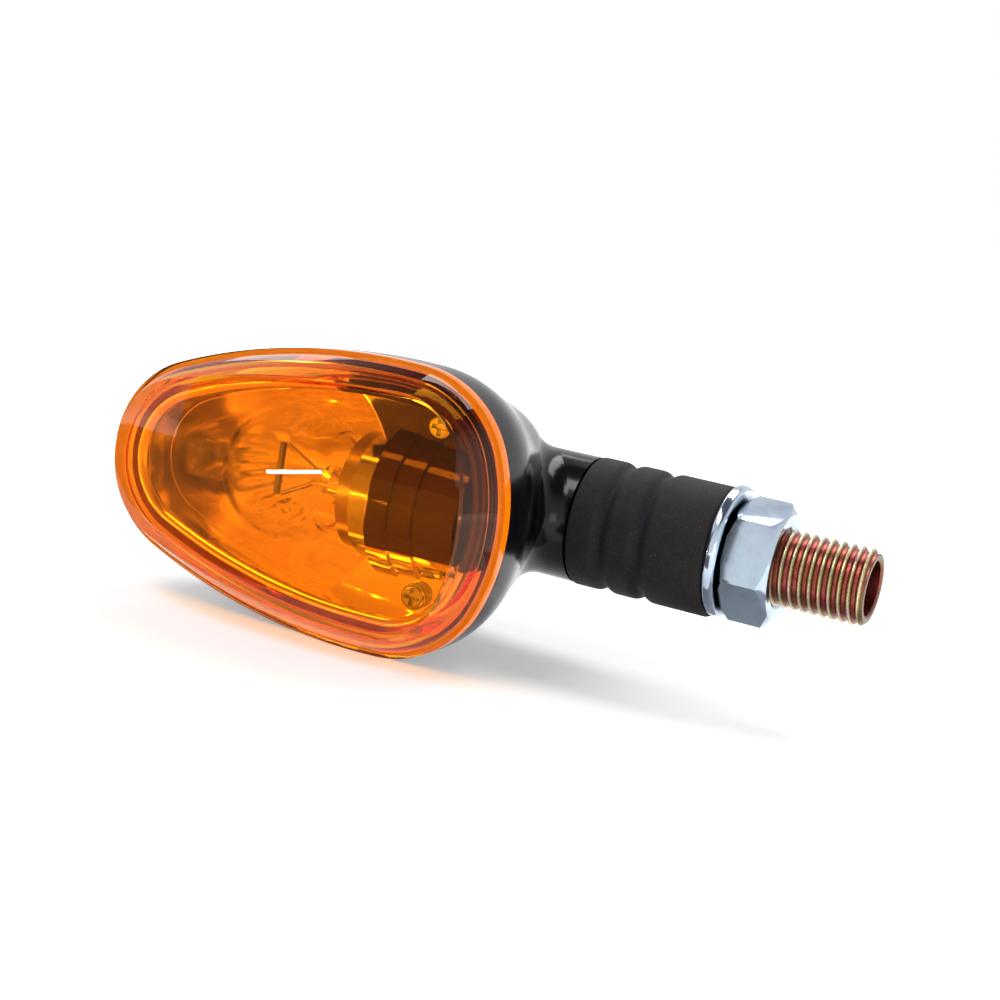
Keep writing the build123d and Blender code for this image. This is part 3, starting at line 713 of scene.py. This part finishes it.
def nut(material):
    """A hexagon trimmed by a cone at both faces, and bored.

    The bevel's overlap limit holds its edges to about 0.001 mm, far under NUT_EDGE_R.
    """
    corner = NUT_FLATS / sqrt(3)
    x0, x1 = NUT_START_X, NUT_END_X
    turns = [radians(NUT_TURN_DEG + 60 * i) for i in range(6)]
    obj = loft("hexagon_nut", [[Vector((x, corner * cos(t), corner * sin(t))) * MM for t in turns]
                               for x in (x0, x1)])
    cut = (corner - NUT_CORNER_R) * tan(radians(NUT_CHAMFER_DEG))
    over = corner + 1.0
    rise = cut * (over - NUT_CORNER_R) / (corner - NUT_CORNER_R)
    cone = [(x0, NUT_CORNER_R), (x0 + rise, over), (x1 - rise, over), (x1, NUT_CORNER_R)]
    carve(obj, turned("nut_cone", cone, 120), "INTERSECT")
    mouth = NUT_BORE_R + NUT_MOUTH + 1
    bore = [(x0 - 1, mouth), (x0 + NUT_MOUTH, NUT_BORE_R), (x1 - NUT_MOUTH, NUT_BORE_R),
            (x1 + 1, mouth)]
    carve(obj, turned("nut_bore", bore))
    modify(obj, "BEVEL", width=NUT_EDGE_R * MM, segments=3, limit_method="ANGLE",
           angle_limit=radians(16))
    smooth(obj, 28)
    finish_piece(obj, material, "nut_body", "zinc_steel", "nut")


# ---- materials -----------------------------------------------------------------------

MIX_A, MIX_B, MIX_RESULT = 6, 7, 2      # the Mix node's colour sockets


def add(tree, kind, inputs=(), stops=(), **settings):
    """Adds a node with its settings; inputs are (socket, value or output socket) pairs.

    stops are the (position, sRGB hex) pairs of a colour ramp.
    """
    node = tree.nodes.new(kind)
    for name, value in settings.items():
        setattr(node, name, value)
    for socket, value in inputs:
        if isinstance(value, bpy.types.NodeSocket):
            tree.links.new(value, node.inputs[socket])
        else:
            node.inputs[socket].default_value = value
    if stops:
        elements = node.color_ramp.elements
        while len(elements) < len(stops):
            elements.new(0.5)
        for element, (place, colour) in zip(elements, stops):
            element.position = place
            element.color = linear(colour)
    return node


def new_material(name):
    """An empty material and its node tree."""
    material = bpy.data.materials.new(name)
    material.use_nodes = True
    material.node_tree.nodes.clear()
    return material, material.node_tree


def across(size):
    """The scale of a noise whose patches are about size millimetres across."""
    return 1 / (size * MM)


def from_axis(tree, place):
    """How far a place is from the stem's middle line."""
    flat = add(tree, "ShaderNodeVectorMath", [(0, place), (1, (0.0, 1.0, 1.0))],
               operation="MULTIPLY")
    return add(tree, "ShaderNodeVectorMath", [(0, flat.outputs[0])],
               operation="LENGTH").outputs["Value"]


def end_clear(tree, clear, light_tint, inside=()):
    """Ends a clear material: the lamps' light goes straight through it and takes a tint."""
    straight = add(tree, "ShaderNodeBsdfTransparent", [("Color", linear(light_tint))])
    path = add(tree, "ShaderNodeLightPath")
    mixed = add(tree, "ShaderNodeMixShader", [(0, path.outputs["Is Shadow Ray"]),
                                              (1, clear.outputs[0]), (2, straight.outputs[0])])
    add(tree, "ShaderNodeOutputMaterial", [("Surface", mixed.outputs[0]), *inside])


def amber_acrylic():
    """Injection-moulded amber acrylic: glossy and clear, deeper orange where it is thicker."""
    material, tree = new_material("amber_acrylic_moulded")
    clear = add(tree, "ShaderNodeBsdfPrincipled",
                [("Base Color", linear("#FFBE6C")), ("Roughness", 0.015), ("IOR", 1.4),
                 ("Transmission Weight", 1.0)])
    dye = add(tree, "ShaderNodeVolumeAbsorption",
              [("Color", linear("#FFF438")), ("Density", 520.0)])
    end_clear(tree, clear, "#F4EEE2", [("Volume", dye.outputs[0])])
    return material


def clear_glass():
    """Blown soda-lime glass: colourless, with a fire-polished surface."""
    material, tree = new_material("soda_glass_blown")
    clear = add(tree, "ShaderNodeBsdfPrincipled",
                [("Base Color", linear("#FFFFFF")), ("Roughness", 0.0), ("IOR", 1.5),
                 ("Transmission Weight", 1.0)])
    end_clear(tree, clear, "#F4F6F6")
    return material


def gloss_abs():
    """Black ABS from a polished mould: deep gloss, with the faint waviness of cooling plastic.

    The waves are 9 mm long. The haze of handling is finer than a hair's width and is drawn
    0.8 mm across, so that it shows.
    """
    material, tree = new_material("black_abs_polished_mould")
    place = add(tree, "ShaderNodeTexCoord").outputs["Object"]
    waves = add(tree, "ShaderNodeTexNoise",
                [("Vector", place), ("Scale", across(9.0)), ("Detail", 1.0)])
    bump = add(tree, "ShaderNodeBump", [("Strength", 0.012), ("Distance", 1.0 * MM),
                                        ("Height", waves.outputs["Fac"])])
    haze = add(tree, "ShaderNodeTexNoise",
               [("Vector", place), ("Scale", across(0.8)), ("Detail", 4.0)])
    rough = add(tree, "ShaderNodeMapRange",
                [("Value", haze.outputs["Fac"]), ("To Min", 0.13), ("To Max", 0.2)])
    shader = add(tree, "ShaderNodeBsdfPrincipled",
                 [("Base Color", linear("#08070A")), ("Roughness", rough.outputs[0]),
                  ("IOR", 1.37), ("Normal", bump.outputs[0])])
    add(tree, "ShaderNodeOutputMaterial", [("Surface", shader.outputs[0])])
    return material


def moulded_rubber():
    """EPDM rubber from a spark-eroded mould: matt charcoal, with pale specks of filler and bloom.

    Down in the grooves it is painted darker and bluer: painted shade with a painted cool sheen.
    The mould's pits are about 0.03 mm, drawn 0.12 mm across so that they show.
    """
    material, tree = new_material("epdm_rubber_moulded")
    place = add(tree, "ShaderNodeTexCoord").outputs["Object"]
    patches = add(tree, "ShaderNodeTexNoise",
                  [("Vector", place), ("Scale", across(3.0)), ("Detail", 3.0)])
    base = add(tree, "ShaderNodeValToRGB", [("Fac", patches.outputs["Fac"])],
               [(0.3, "#151211"), (0.7, "#1F1A19")])
    # painted shade: darker and bluer down in the grooves, with a painted cool sheen
    painted_groove_shade = add(tree, "ShaderNodeMapRange",
               [("Value", from_axis(tree, place)), ("From Min", GROOVE_SHADE_R[0] * MM),
                ("From Max", GROOVE_SHADE_R[1] * MM), ("To Max", 0.85)])
    groove_shaded_tone = add(tree, "ShaderNodeMix",
                  [("Factor", painted_groove_shade.outputs[0]), (MIX_A, base.outputs["Color"]),
                   (MIX_B, linear("#0C0F18"))], data_type="RGBA")
    specks = add(tree, "ShaderNodeTexNoise",
                 [("Vector", place), ("Scale", across(0.16)), ("Detail", 1.0)])
    speck_on = add(tree, "ShaderNodeMapRange",
                   [("Value", specks.outputs["Fac"]), ("From Min", 0.66), ("From Max", 0.76),
                    ("To Max", 0.55)])
    tone = add(tree, "ShaderNodeMix",
               [("Factor", speck_on.outputs[0]), (MIX_A, groove_shaded_tone.outputs[MIX_RESULT]),
                (MIX_B, linear("#5A524C"))], data_type="RGBA")
    pits = add(tree, "ShaderNodeTexNoise",
               [("Vector", place), ("Scale", across(0.12)), ("Detail", 2.0)])
    bump = add(tree, "ShaderNodeBump", [("Strength", 0.35), ("Distance", 0.08 * MM),
                                        ("Height", pits.outputs["Fac"])])
    shader = add(tree, "ShaderNodeBsdfPrincipled",
                 [("Base Color", tone.outputs[MIX_RESULT]), ("Roughness", 0.7), ("IOR", 1.4),
                  ("Normal", bump.outputs[0])])
    add(tree, "ShaderNodeOutputMaterial", [("Surface", shader.outputs[0])])
    return material


def bright_zinc():
    """Electroplated zinc with a blue passivation: bright, in faint blue and lavender clouds.

    The plating's grain is a few thousandths of a millimetre, drawn 0.5 mm across so that it
    shows. Where the nut and the washer press together the zinc is painted dark teal: painted shade.
    """
    material, tree = new_material("steel_zinc_blue_passivated")
    place = add(tree, "ShaderNodeTexCoord").outputs["Object"]
    clouds = add(tree, "ShaderNodeTexNoise",
                 [("Vector", place), ("Scale", across(4.0)), ("Detail", 4.0)])
    tone = add(tree, "ShaderNodeValToRGB", [("Fac", clouds.outputs["Fac"])],
               [(0.3, "#B9C8DC"), (0.5, "#C9DBE8"), (0.7, "#C3C9E0")])
    along = add(tree, "ShaderNodeSeparateXYZ", [(0, place)]).outputs["X"]
    # painted shade: the zinc turns dark teal where the washer's face meets the nut's foot, for the
    # gap between them
    painted_gap_shade = 1.0
    for value, unshaded_from, shaded_to in ((from_axis(tree, place), 8.0, 7.1),
                            (along, WASHER_OUTER_X - 0.12, WASHER_OUTER_X - 0.02),
                            (along, NUT_START_X + 0.7, NUT_START_X + 0.35)):
        near = add(tree, "ShaderNodeMapRange",
                   [("Value", value), ("From Min", unshaded_from * MM), ("From Max", shaded_to * MM)])
        painted_gap_shade = add(tree, "ShaderNodeMath", [(0, near.outputs[0]), (1, painted_gap_shade)],
                    operation="MULTIPLY").outputs[0]
    tone = add(tree, "ShaderNodeMix", [("Factor", painted_gap_shade), (MIX_A, tone.outputs["Color"]),
                                       (MIX_B, linear("#1E3A44"))], data_type="RGBA")
    satin = add(tree, "ShaderNodeTexNoise",
                [("Vector", place), ("Scale", across(0.5)), ("Detail", 4.0)])
    rough = add(tree, "ShaderNodeMapRange",
                [("Value", satin.outputs["Fac"]), ("To Min", 0.07), ("To Max", 0.17)])
    bump = add(tree, "ShaderNodeBump", [("Strength", 0.05), ("Distance", 0.04 * MM),
                                        ("Height", satin.outputs["Fac"])])
    shader = add(tree, "ShaderNodeBsdfPrincipled",
                 [("Base Color", tone.outputs[MIX_RESULT]), ("Metallic", 1.0),
                  ("Roughness", rough.outputs[0]), ("Normal", bump.outputs[0])])
    add(tree, "ShaderNodeOutputMaterial", [("Surface", shader.outputs[0])])
    return material


def yellow_chromate():
    """Zinc with a yellow chromate film: pale gold on the worn crests, rose and green where thick.

    The sawn end is darker, because the film is thin there. Pinholes of the film are drawn
    0.14 mm across, a few times their real size, so that they show.
    """
    material, tree = new_material("steel_yellow_chromate")
    place = add(tree, "ShaderNodeTexCoord").outputs["Object"]
    height = add(tree, "ShaderNodeMapRange",
                 [("Value", from_axis(tree, place)), ("From Min", (STUD_R - THREAD_DEPTH) * MM),
                  ("From Max", STUD_R * MM)])
    by_height = add(tree, "ShaderNodeValToRGB", [("Fac", height.outputs[0])],
                    [(0.04, "#B05C5A"), (0.2, "#86644A"), (0.36, "#5E6044"), (0.56, "#B4A684"),
                     (0.8, "#F0E4D0")])
    film = add(tree, "ShaderNodeTexNoise",
               [("Vector", place), ("Scale", across(3.2)), ("Detail", 2.0)])
    bands = add(tree, "ShaderNodeValToRGB", [("Fac", film.outputs["Fac"])],
                [(0.38, "#F4C8C0"), (0.5, "#F0D890"), (0.58, "#B8D080"), (0.68, "#F0B0A8")])
    tinted = add(tree, "ShaderNodeMix",
                 [("Factor", 0.55), (MIX_A, by_height.outputs["Color"]),
                  (MIX_B, bands.outputs["Color"])], data_type="RGBA", blend_type="MULTIPLY")
    along = add(tree, "ShaderNodeSeparateXYZ", [(0, place)]).outputs["X"]
    cut = add(tree, "ShaderNodeMapRange", [("Value", along), ("From Min", (STUD_END_X - 0.2) * MM),
                                           ("From Max", (STUD_END_X - 0.08) * MM)])
    tinted = add(tree, "ShaderNodeMix",
                 [("Factor", cut.outputs[0]), (MIX_A, tinted.outputs[MIX_RESULT]),
                  (MIX_B, linear("#7A6C50"))], data_type="RGBA")
    pinholes = add(tree, "ShaderNodeTexNoise",
                   [("Vector", place), ("Scale", across(0.14)), ("Detail", 2.0)])
    shade = add(tree, "ShaderNodeMapRange",
                [("Value", pinholes.outputs["Fac"]), ("From Min", 0.36), ("From Max", 0.52),
                 ("To Min", 0.5), ("To Max", 1.15)])
    tone = add(tree, "ShaderNodeMix",
               [("Factor", 1.0), (MIX_A, tinted.outputs[MIX_RESULT]), (MIX_B, shade.outputs[0])],
               data_type="RGBA", blend_type="MULTIPLY")
    bump = add(tree, "ShaderNodeBump", [("Strength", 0.4), ("Distance", 0.05 * MM),
                                        ("Height", pinholes.outputs["Fac"])])
    shader = add(tree, "ShaderNodeBsdfPrincipled",
                 [("Base Color", tone.outputs[MIX_RESULT]), ("Metallic", 1.0),
                  ("Roughness", 0.33), ("Normal", bump.outputs[0])])
    add(tree, "ShaderNodeOutputMaterial", [("Surface", shader.outputs[0])])
    return material


def mirror_coat():
    """ABS with vacuum-metallised aluminium under lacquer: a mirror, wavy as the moulding is.

    The waves are 5 mm long. Beside the bulb, above the lower shelf, the coat was masked off:
    dark brown moulded gloss. Towards the tip the mould is satin, so the coat spreads the light
    there instead of mirroring the bulb.
    """
    material, tree = new_material("abs_vacuum_metallised")
    place = add(tree, "ShaderNodeTexCoord").outputs["Object"]
    waves = add(tree, "ShaderNodeTexNoise",
                [("Vector", place), ("Scale", across(5.0)), ("Detail", 1.0)])
    bump = add(tree, "ShaderNodeBump", [("Strength", 0.25), ("Distance", 0.4 * MM),
                                        ("Height", waves.outputs["Fac"])])
    flat = add(tree, "ShaderNodeVectorMath", [(0, place), (1, (1.0, 0.0, 1.0))],
               operation="MULTIPLY")
    hub = (BOWL_CENTRE[0] * MM, 0.0, BOWL_CENTRE[1] * MM)
    reach = add(tree, "ShaderNodeVectorMath", [(0, flat.outputs[0]), (1, hub)],
                operation="DISTANCE").outputs["Value"]
    parts = add(tree, "ShaderNodeSeparateXYZ", [(0, place)])
    bare = 1.0
    for value, edge in ((reach, BOWL_RIGHT_R), (parts.outputs["X"], MASK_START_X),
                        (parts.outputs["Z"], MASK_FOOT_Z)):
        past = add(tree, "ShaderNodeMapRange", [("Value", value), ("From Min", (edge + 0.05) * MM),
                                                ("From Max", (edge + 0.25) * MM)])
        bare = add(tree, "ShaderNodeMath", [(0, past.outputs[0]), (1, bare)],
                   operation="MULTIPLY").outputs[0]
    tone = add(tree, "ShaderNodeMix", [("Factor", bare), (MIX_A, linear("#FEF8F0")),
                                       (MIX_B, linear("#3A0E08"))], data_type="RGBA")
    coat = add(tree, "ShaderNodeMath", [(0, 1.0), (1, bare)], operation="SUBTRACT")
    satin = add(tree, "ShaderNodeMapRange",
                [("Value", parts.outputs["X"]), ("From Min", SATIN_X[0] * MM),
                 ("From Max", SATIN_X[1] * MM), ("To Min", 0.07), ("To Max", 0.16)])
    shader = add(tree, "ShaderNodeBsdfPrincipled",
                 [("Base Color", tone.outputs[MIX_RESULT]), ("Metallic", coat.outputs[0]),
                  ("Roughness", satin.outputs[0]), ("Normal", bump.outputs[0])])
    add(tree, "ShaderNodeOutputMaterial", [("Surface", shader.outputs[0])])
    return material


def plain(name, colour, roughness, metallic=0.0):
    """A moulded or drawn part seen only through the lens: its tone varies a little over 1.5 mm."""
    material, tree = new_material(name)
    place = add(tree, "ShaderNodeTexCoord").outputs["Object"]
    clouds = add(tree, "ShaderNodeTexNoise",
                 [("Vector", place), ("Scale", across(1.5)), ("Detail", 3.0)])
    shade = add(tree, "ShaderNodeMapRange",
                [("Value", clouds.outputs["Fac"]), ("To Min", 0.85), ("To Max", 1.1)])
    tone = add(tree, "ShaderNodeMix",
               [("Factor", 1.0), (MIX_A, linear(colour)), (MIX_B, shade.outputs[0])],
               data_type="RGBA", blend_type="MULTIPLY")
    shader = add(tree, "ShaderNodeBsdfPrincipled",
                 [("Base Color", tone.outputs[MIX_RESULT]), ("Roughness", roughness),
                  ("Metallic", metallic)])
    add(tree, "ShaderNodeOutputMaterial", [("Surface", shader.outputs[0])])
    return material


# ---- stage ---------------------------------------------------------------------------

def studio_floor():
    """White paper under the part, brightening outwards to the white of the tent."""
    deselect()
    bpy.ops.mesh.primitive_plane_add(size=6, location=(0, 0, FLOOR_Z))
    floor = bpy.context.object
    floor.name = "studio_floor"
    material, tree = new_material("floor_paper_white")
    paper = add(tree, "ShaderNodeBsdfDiffuse", [("Color", linear("#F0F0F0"))])
    path = add(tree, "ShaderNodeLightPath").outputs
    seen = path["Is Camera Ray"]
    for ray in ("Is Glossy Ray", "Is Transmission Ray"):
        seen = add(tree, "ShaderNodeMath", [(0, seen), (1, path[ray])],
                   operation="MAXIMUM").outputs[0]
    place = add(tree, "ShaderNodeTexCoord").outputs["Object"]
    away = add(tree, "ShaderNodeVectorMath", [(0, place)], operation="LENGTH")
    rise = add(tree, "ShaderNodeMapRange",
               [("Value", away.outputs["Value"]), ("From Min", FLOOR_REACH[0]),
                ("From Max", FLOOR_REACH[1]), ("To Min", FLOOR_GLOW[0]),
                ("To Max", FLOOR_GLOW[1])])
    share = add(tree, "ShaderNodeMath", [(0, seen), (1, rise.outputs[0])], operation="MULTIPLY")
    glow = add(tree, "ShaderNodeEmission", [("Color", linear("#FFFFFF")),
                                            ("Strength", share.outputs[0])])
    total = add(tree, "ShaderNodeAddShader", [(0, paper.outputs[0]), (1, glow.outputs[0])])
    add(tree, "ShaderNodeOutputMaterial", [("Surface", total.outputs[0])])
    floor.data.materials.append(material)


def world():
    """A white tent round the sides under a darker ceiling, plain white where it is seen itself."""
    scene = bpy.context.scene
    scene.world = bpy.data.worlds.new("studio_tent")
    scene.world.use_nodes = True
    tree = scene.world.node_tree
    tree.nodes.clear()
    path = add(tree, "ShaderNodeLightPath")
    heading = add(tree, "ShaderNodeTexCoord").outputs["Generated"]
    height = add(tree, "ShaderNodeSeparateXYZ", [(0, heading)])
    shade = add(tree, "ShaderNodeValToRGB", [("Fac", height.outputs["Z"])], TENT_STOPS)
    tent = add(tree, "ShaderNodeBackground", [("Color", shade.outputs["Color"]),
                                              ("Strength", TENT_LEVEL)])
    white = add(tree, "ShaderNodeBackground", [("Color", linear("#FFFFFF")), ("Strength", 1.0)])
    mixed = add(tree, "ShaderNodeMixShader", [(0, path.outputs["Is Camera Ray"]),
                                              (1, tent.outputs[0]), (2, white.outputs[0])])
    add(tree, "ShaderNodeOutputWorld", [("Surface", mixed.outputs[0])])


def lamp(name, place, aim, width, height, power, roll=0.0):
    """A soft rectangular lamp that isn't itself in view, rolled by an angle in degrees."""
    deselect()
    bpy.ops.object.light_add(type="AREA", location=place)
    obj = bpy.context.object
    obj.name = name
    obj.data.shape = "RECTANGLE"
    obj.data.size, obj.data.size_y = width, height
    obj.data.energy = power
    facing = (Vector(aim) - Vector(place)).to_track_quat("-Z", "Y")
    obj.rotation_euler = (facing @ Quaternion((0, 0, 1), radians(roll))).to_euler()
    obj.visible_camera = False


def paper_card(name, place, heading, width, height, tone=CARD_TONE):
    """A dark paper card beside the set, facing a heading, that shows in reflections alone."""
    deselect()
    bpy.ops.mesh.primitive_plane_add(size=1, location=place)
    obj = bpy.context.object
    obj.name = name
    obj.scale = (width, height, 1.0)
    obj.rotation_euler = Vector(heading).to_track_quat("Z", "Y").to_euler()
    settle(obj)
    material, tree = new_material("paper_matt_" + name)
    paper = add(tree, "ShaderNodeBsdfDiffuse", [("Color", linear(tone))])
    add(tree, "ShaderNodeOutputMaterial", [("Surface", paper.outputs[0])])
    obj.data.materials.append(material)
    obj.visible_camera = obj.visible_diffuse = False
    obj.visible_transmission = obj.visible_shadow = False


def camera():
    """Level with the lamp's lens side, a little above it and rolled."""
    deselect()
    bpy.ops.object.camera_add()
    obj = bpy.context.object
    right = Vector((0.89088, 0.42277, 0.16611))
    up = Vector((-0.21743, 0.07583, 0.97313))
    turn = Matrix((right, up, right.cross(up))).transposed()
    obj.matrix_world = Matrix.Translation(Vector((74.09, -239.80, 42.11)) * MM) @ turn.to_4x4()
    obj.data.lens = 72.0
    obj.data.sensor_width = 36.0
    obj.data.clip_start = 0.01
    bpy.context.scene.camera = obj


# ---- build ---------------------------------------------------------------------------

bpy.context.scene.view_settings.view_transform = "Standard"
deselect()

amber = amber_acrylic()
glass = clear_glass()
gloss_black = gloss_abs()
metallised = mirror_coat()
zinc = bright_zinc()
rubber = moulded_rubber()
chromate = yellow_chromate()
seal = plain("silicone_foam_natural", "#E4E0D8", 0.6)
nickel = plain("brass_nickel_plated", "#B9B2A0", 0.25, metallic=1.0)
tungsten = plain("tungsten_drawn_wire", "#8A8A8C", 0.35, metallic=1.0)
bright_wire = plain("nickel_wire_drawn", "#D9D5CC", 0.16, metallic=1.0)
cap_glass = plain("black_glass_pressed", "#0A0A0A", 0.1)
phenolic = plain("phenolic_paper_punched", "#4A2412", 0.5)

CAD_FINISH = {
    "housing": gloss_black,
    "reflector_screws": zinc, "bulb_glass": glass, "bulb_stem": glass,
    "filament_supports": bright_wire, "filament": tungsten, "bulb_cap": nickel,
    "bulb_insulator": cap_glass, "bulb_contact": nickel, "bulb_socket": zinc,
    "socket_insulator": phenolic, "contact_plunger": nickel, "contact_spring": tungsten,
    "earth_tag": nickel, "inner_stud": zinc, "inner_ring_nut": zinc,
}
for name, material in CAD_FINISH.items():
    nodes[name].data.materials.clear()
    nodes[name].data.materials.append(material)

lens(amber)
rim_seal(seal)
rim_bead(gloss_black)
reflector(metallised)
rubber_stem(rubber)
threaded_stud(chromate)
washer(zinc)
nut(zinc)

studio_floor()
world()
# places and sizes in metres: four soft lamps round the part, and a narrow strip that draws the
# streak along the lens
lamp("softbox_window", (-0.24, -0.22, 0.5), (-0.03, 0, 0), 0.45, 0.14, 1.4)
lamp("softbox_top", (0.0, 0.26, 0.45), (-0.03, 0, 0), 0.4, 0.22, 1.4)
lamp("softbox_back", (-0.42, 0.43, 0.41), (-0.05, 0, 0), 0.3, 0.2, 0.5)
lamp("softbox_right", (0.11, -0.115, 0.01), (-0.06, -0.02, 0), 0.1, 0.05, 0.024)
lamp("strip_front", (-0.1229, -0.1602, -0.0066), (-0.0438, -0.0339, 0.0027), 0.036, 0.0028,
     0.02, roll=17)
# the cards keep the white tent and floor off the lens's face; the last is painted shadow: a grey
# card, seen only in reflections, that stands for the floor's shadow under the stem and greys the
# nut's foot
TO_SET, UPWARD = (0, 1, 0), (0, 0, 1)
paper_card("card_upright", (-0.21, -0.2, 0.046), TO_SET, 0.24, 0.128)
paper_card("card_low", (-0.074, -0.13, 0.004), TO_SET, 0.024, 0.044)
paper_card("card_near_foot", (-0.035, -0.065, -0.0052), TO_SET, 0.03, 0.0256)
paper_card("card_near", (-0.043, -0.065, 0.026), TO_SET, 0.038, 0.038)
paper_card("card_laid", (-0.165, -0.12, CARD_Z), UPWARD, 0.33, 0.16)
paper_card("card_under", (0.012, -0.002, CARD_Z), UPWARD, 0.044, 0.024, tone="#A2A4A6")
camera()

paths = bpy.context.scene.cycles
paths.max_bounces, paths.glossy_bounces, paths.transmission_bounces = LIGHT_PATH_STEPS
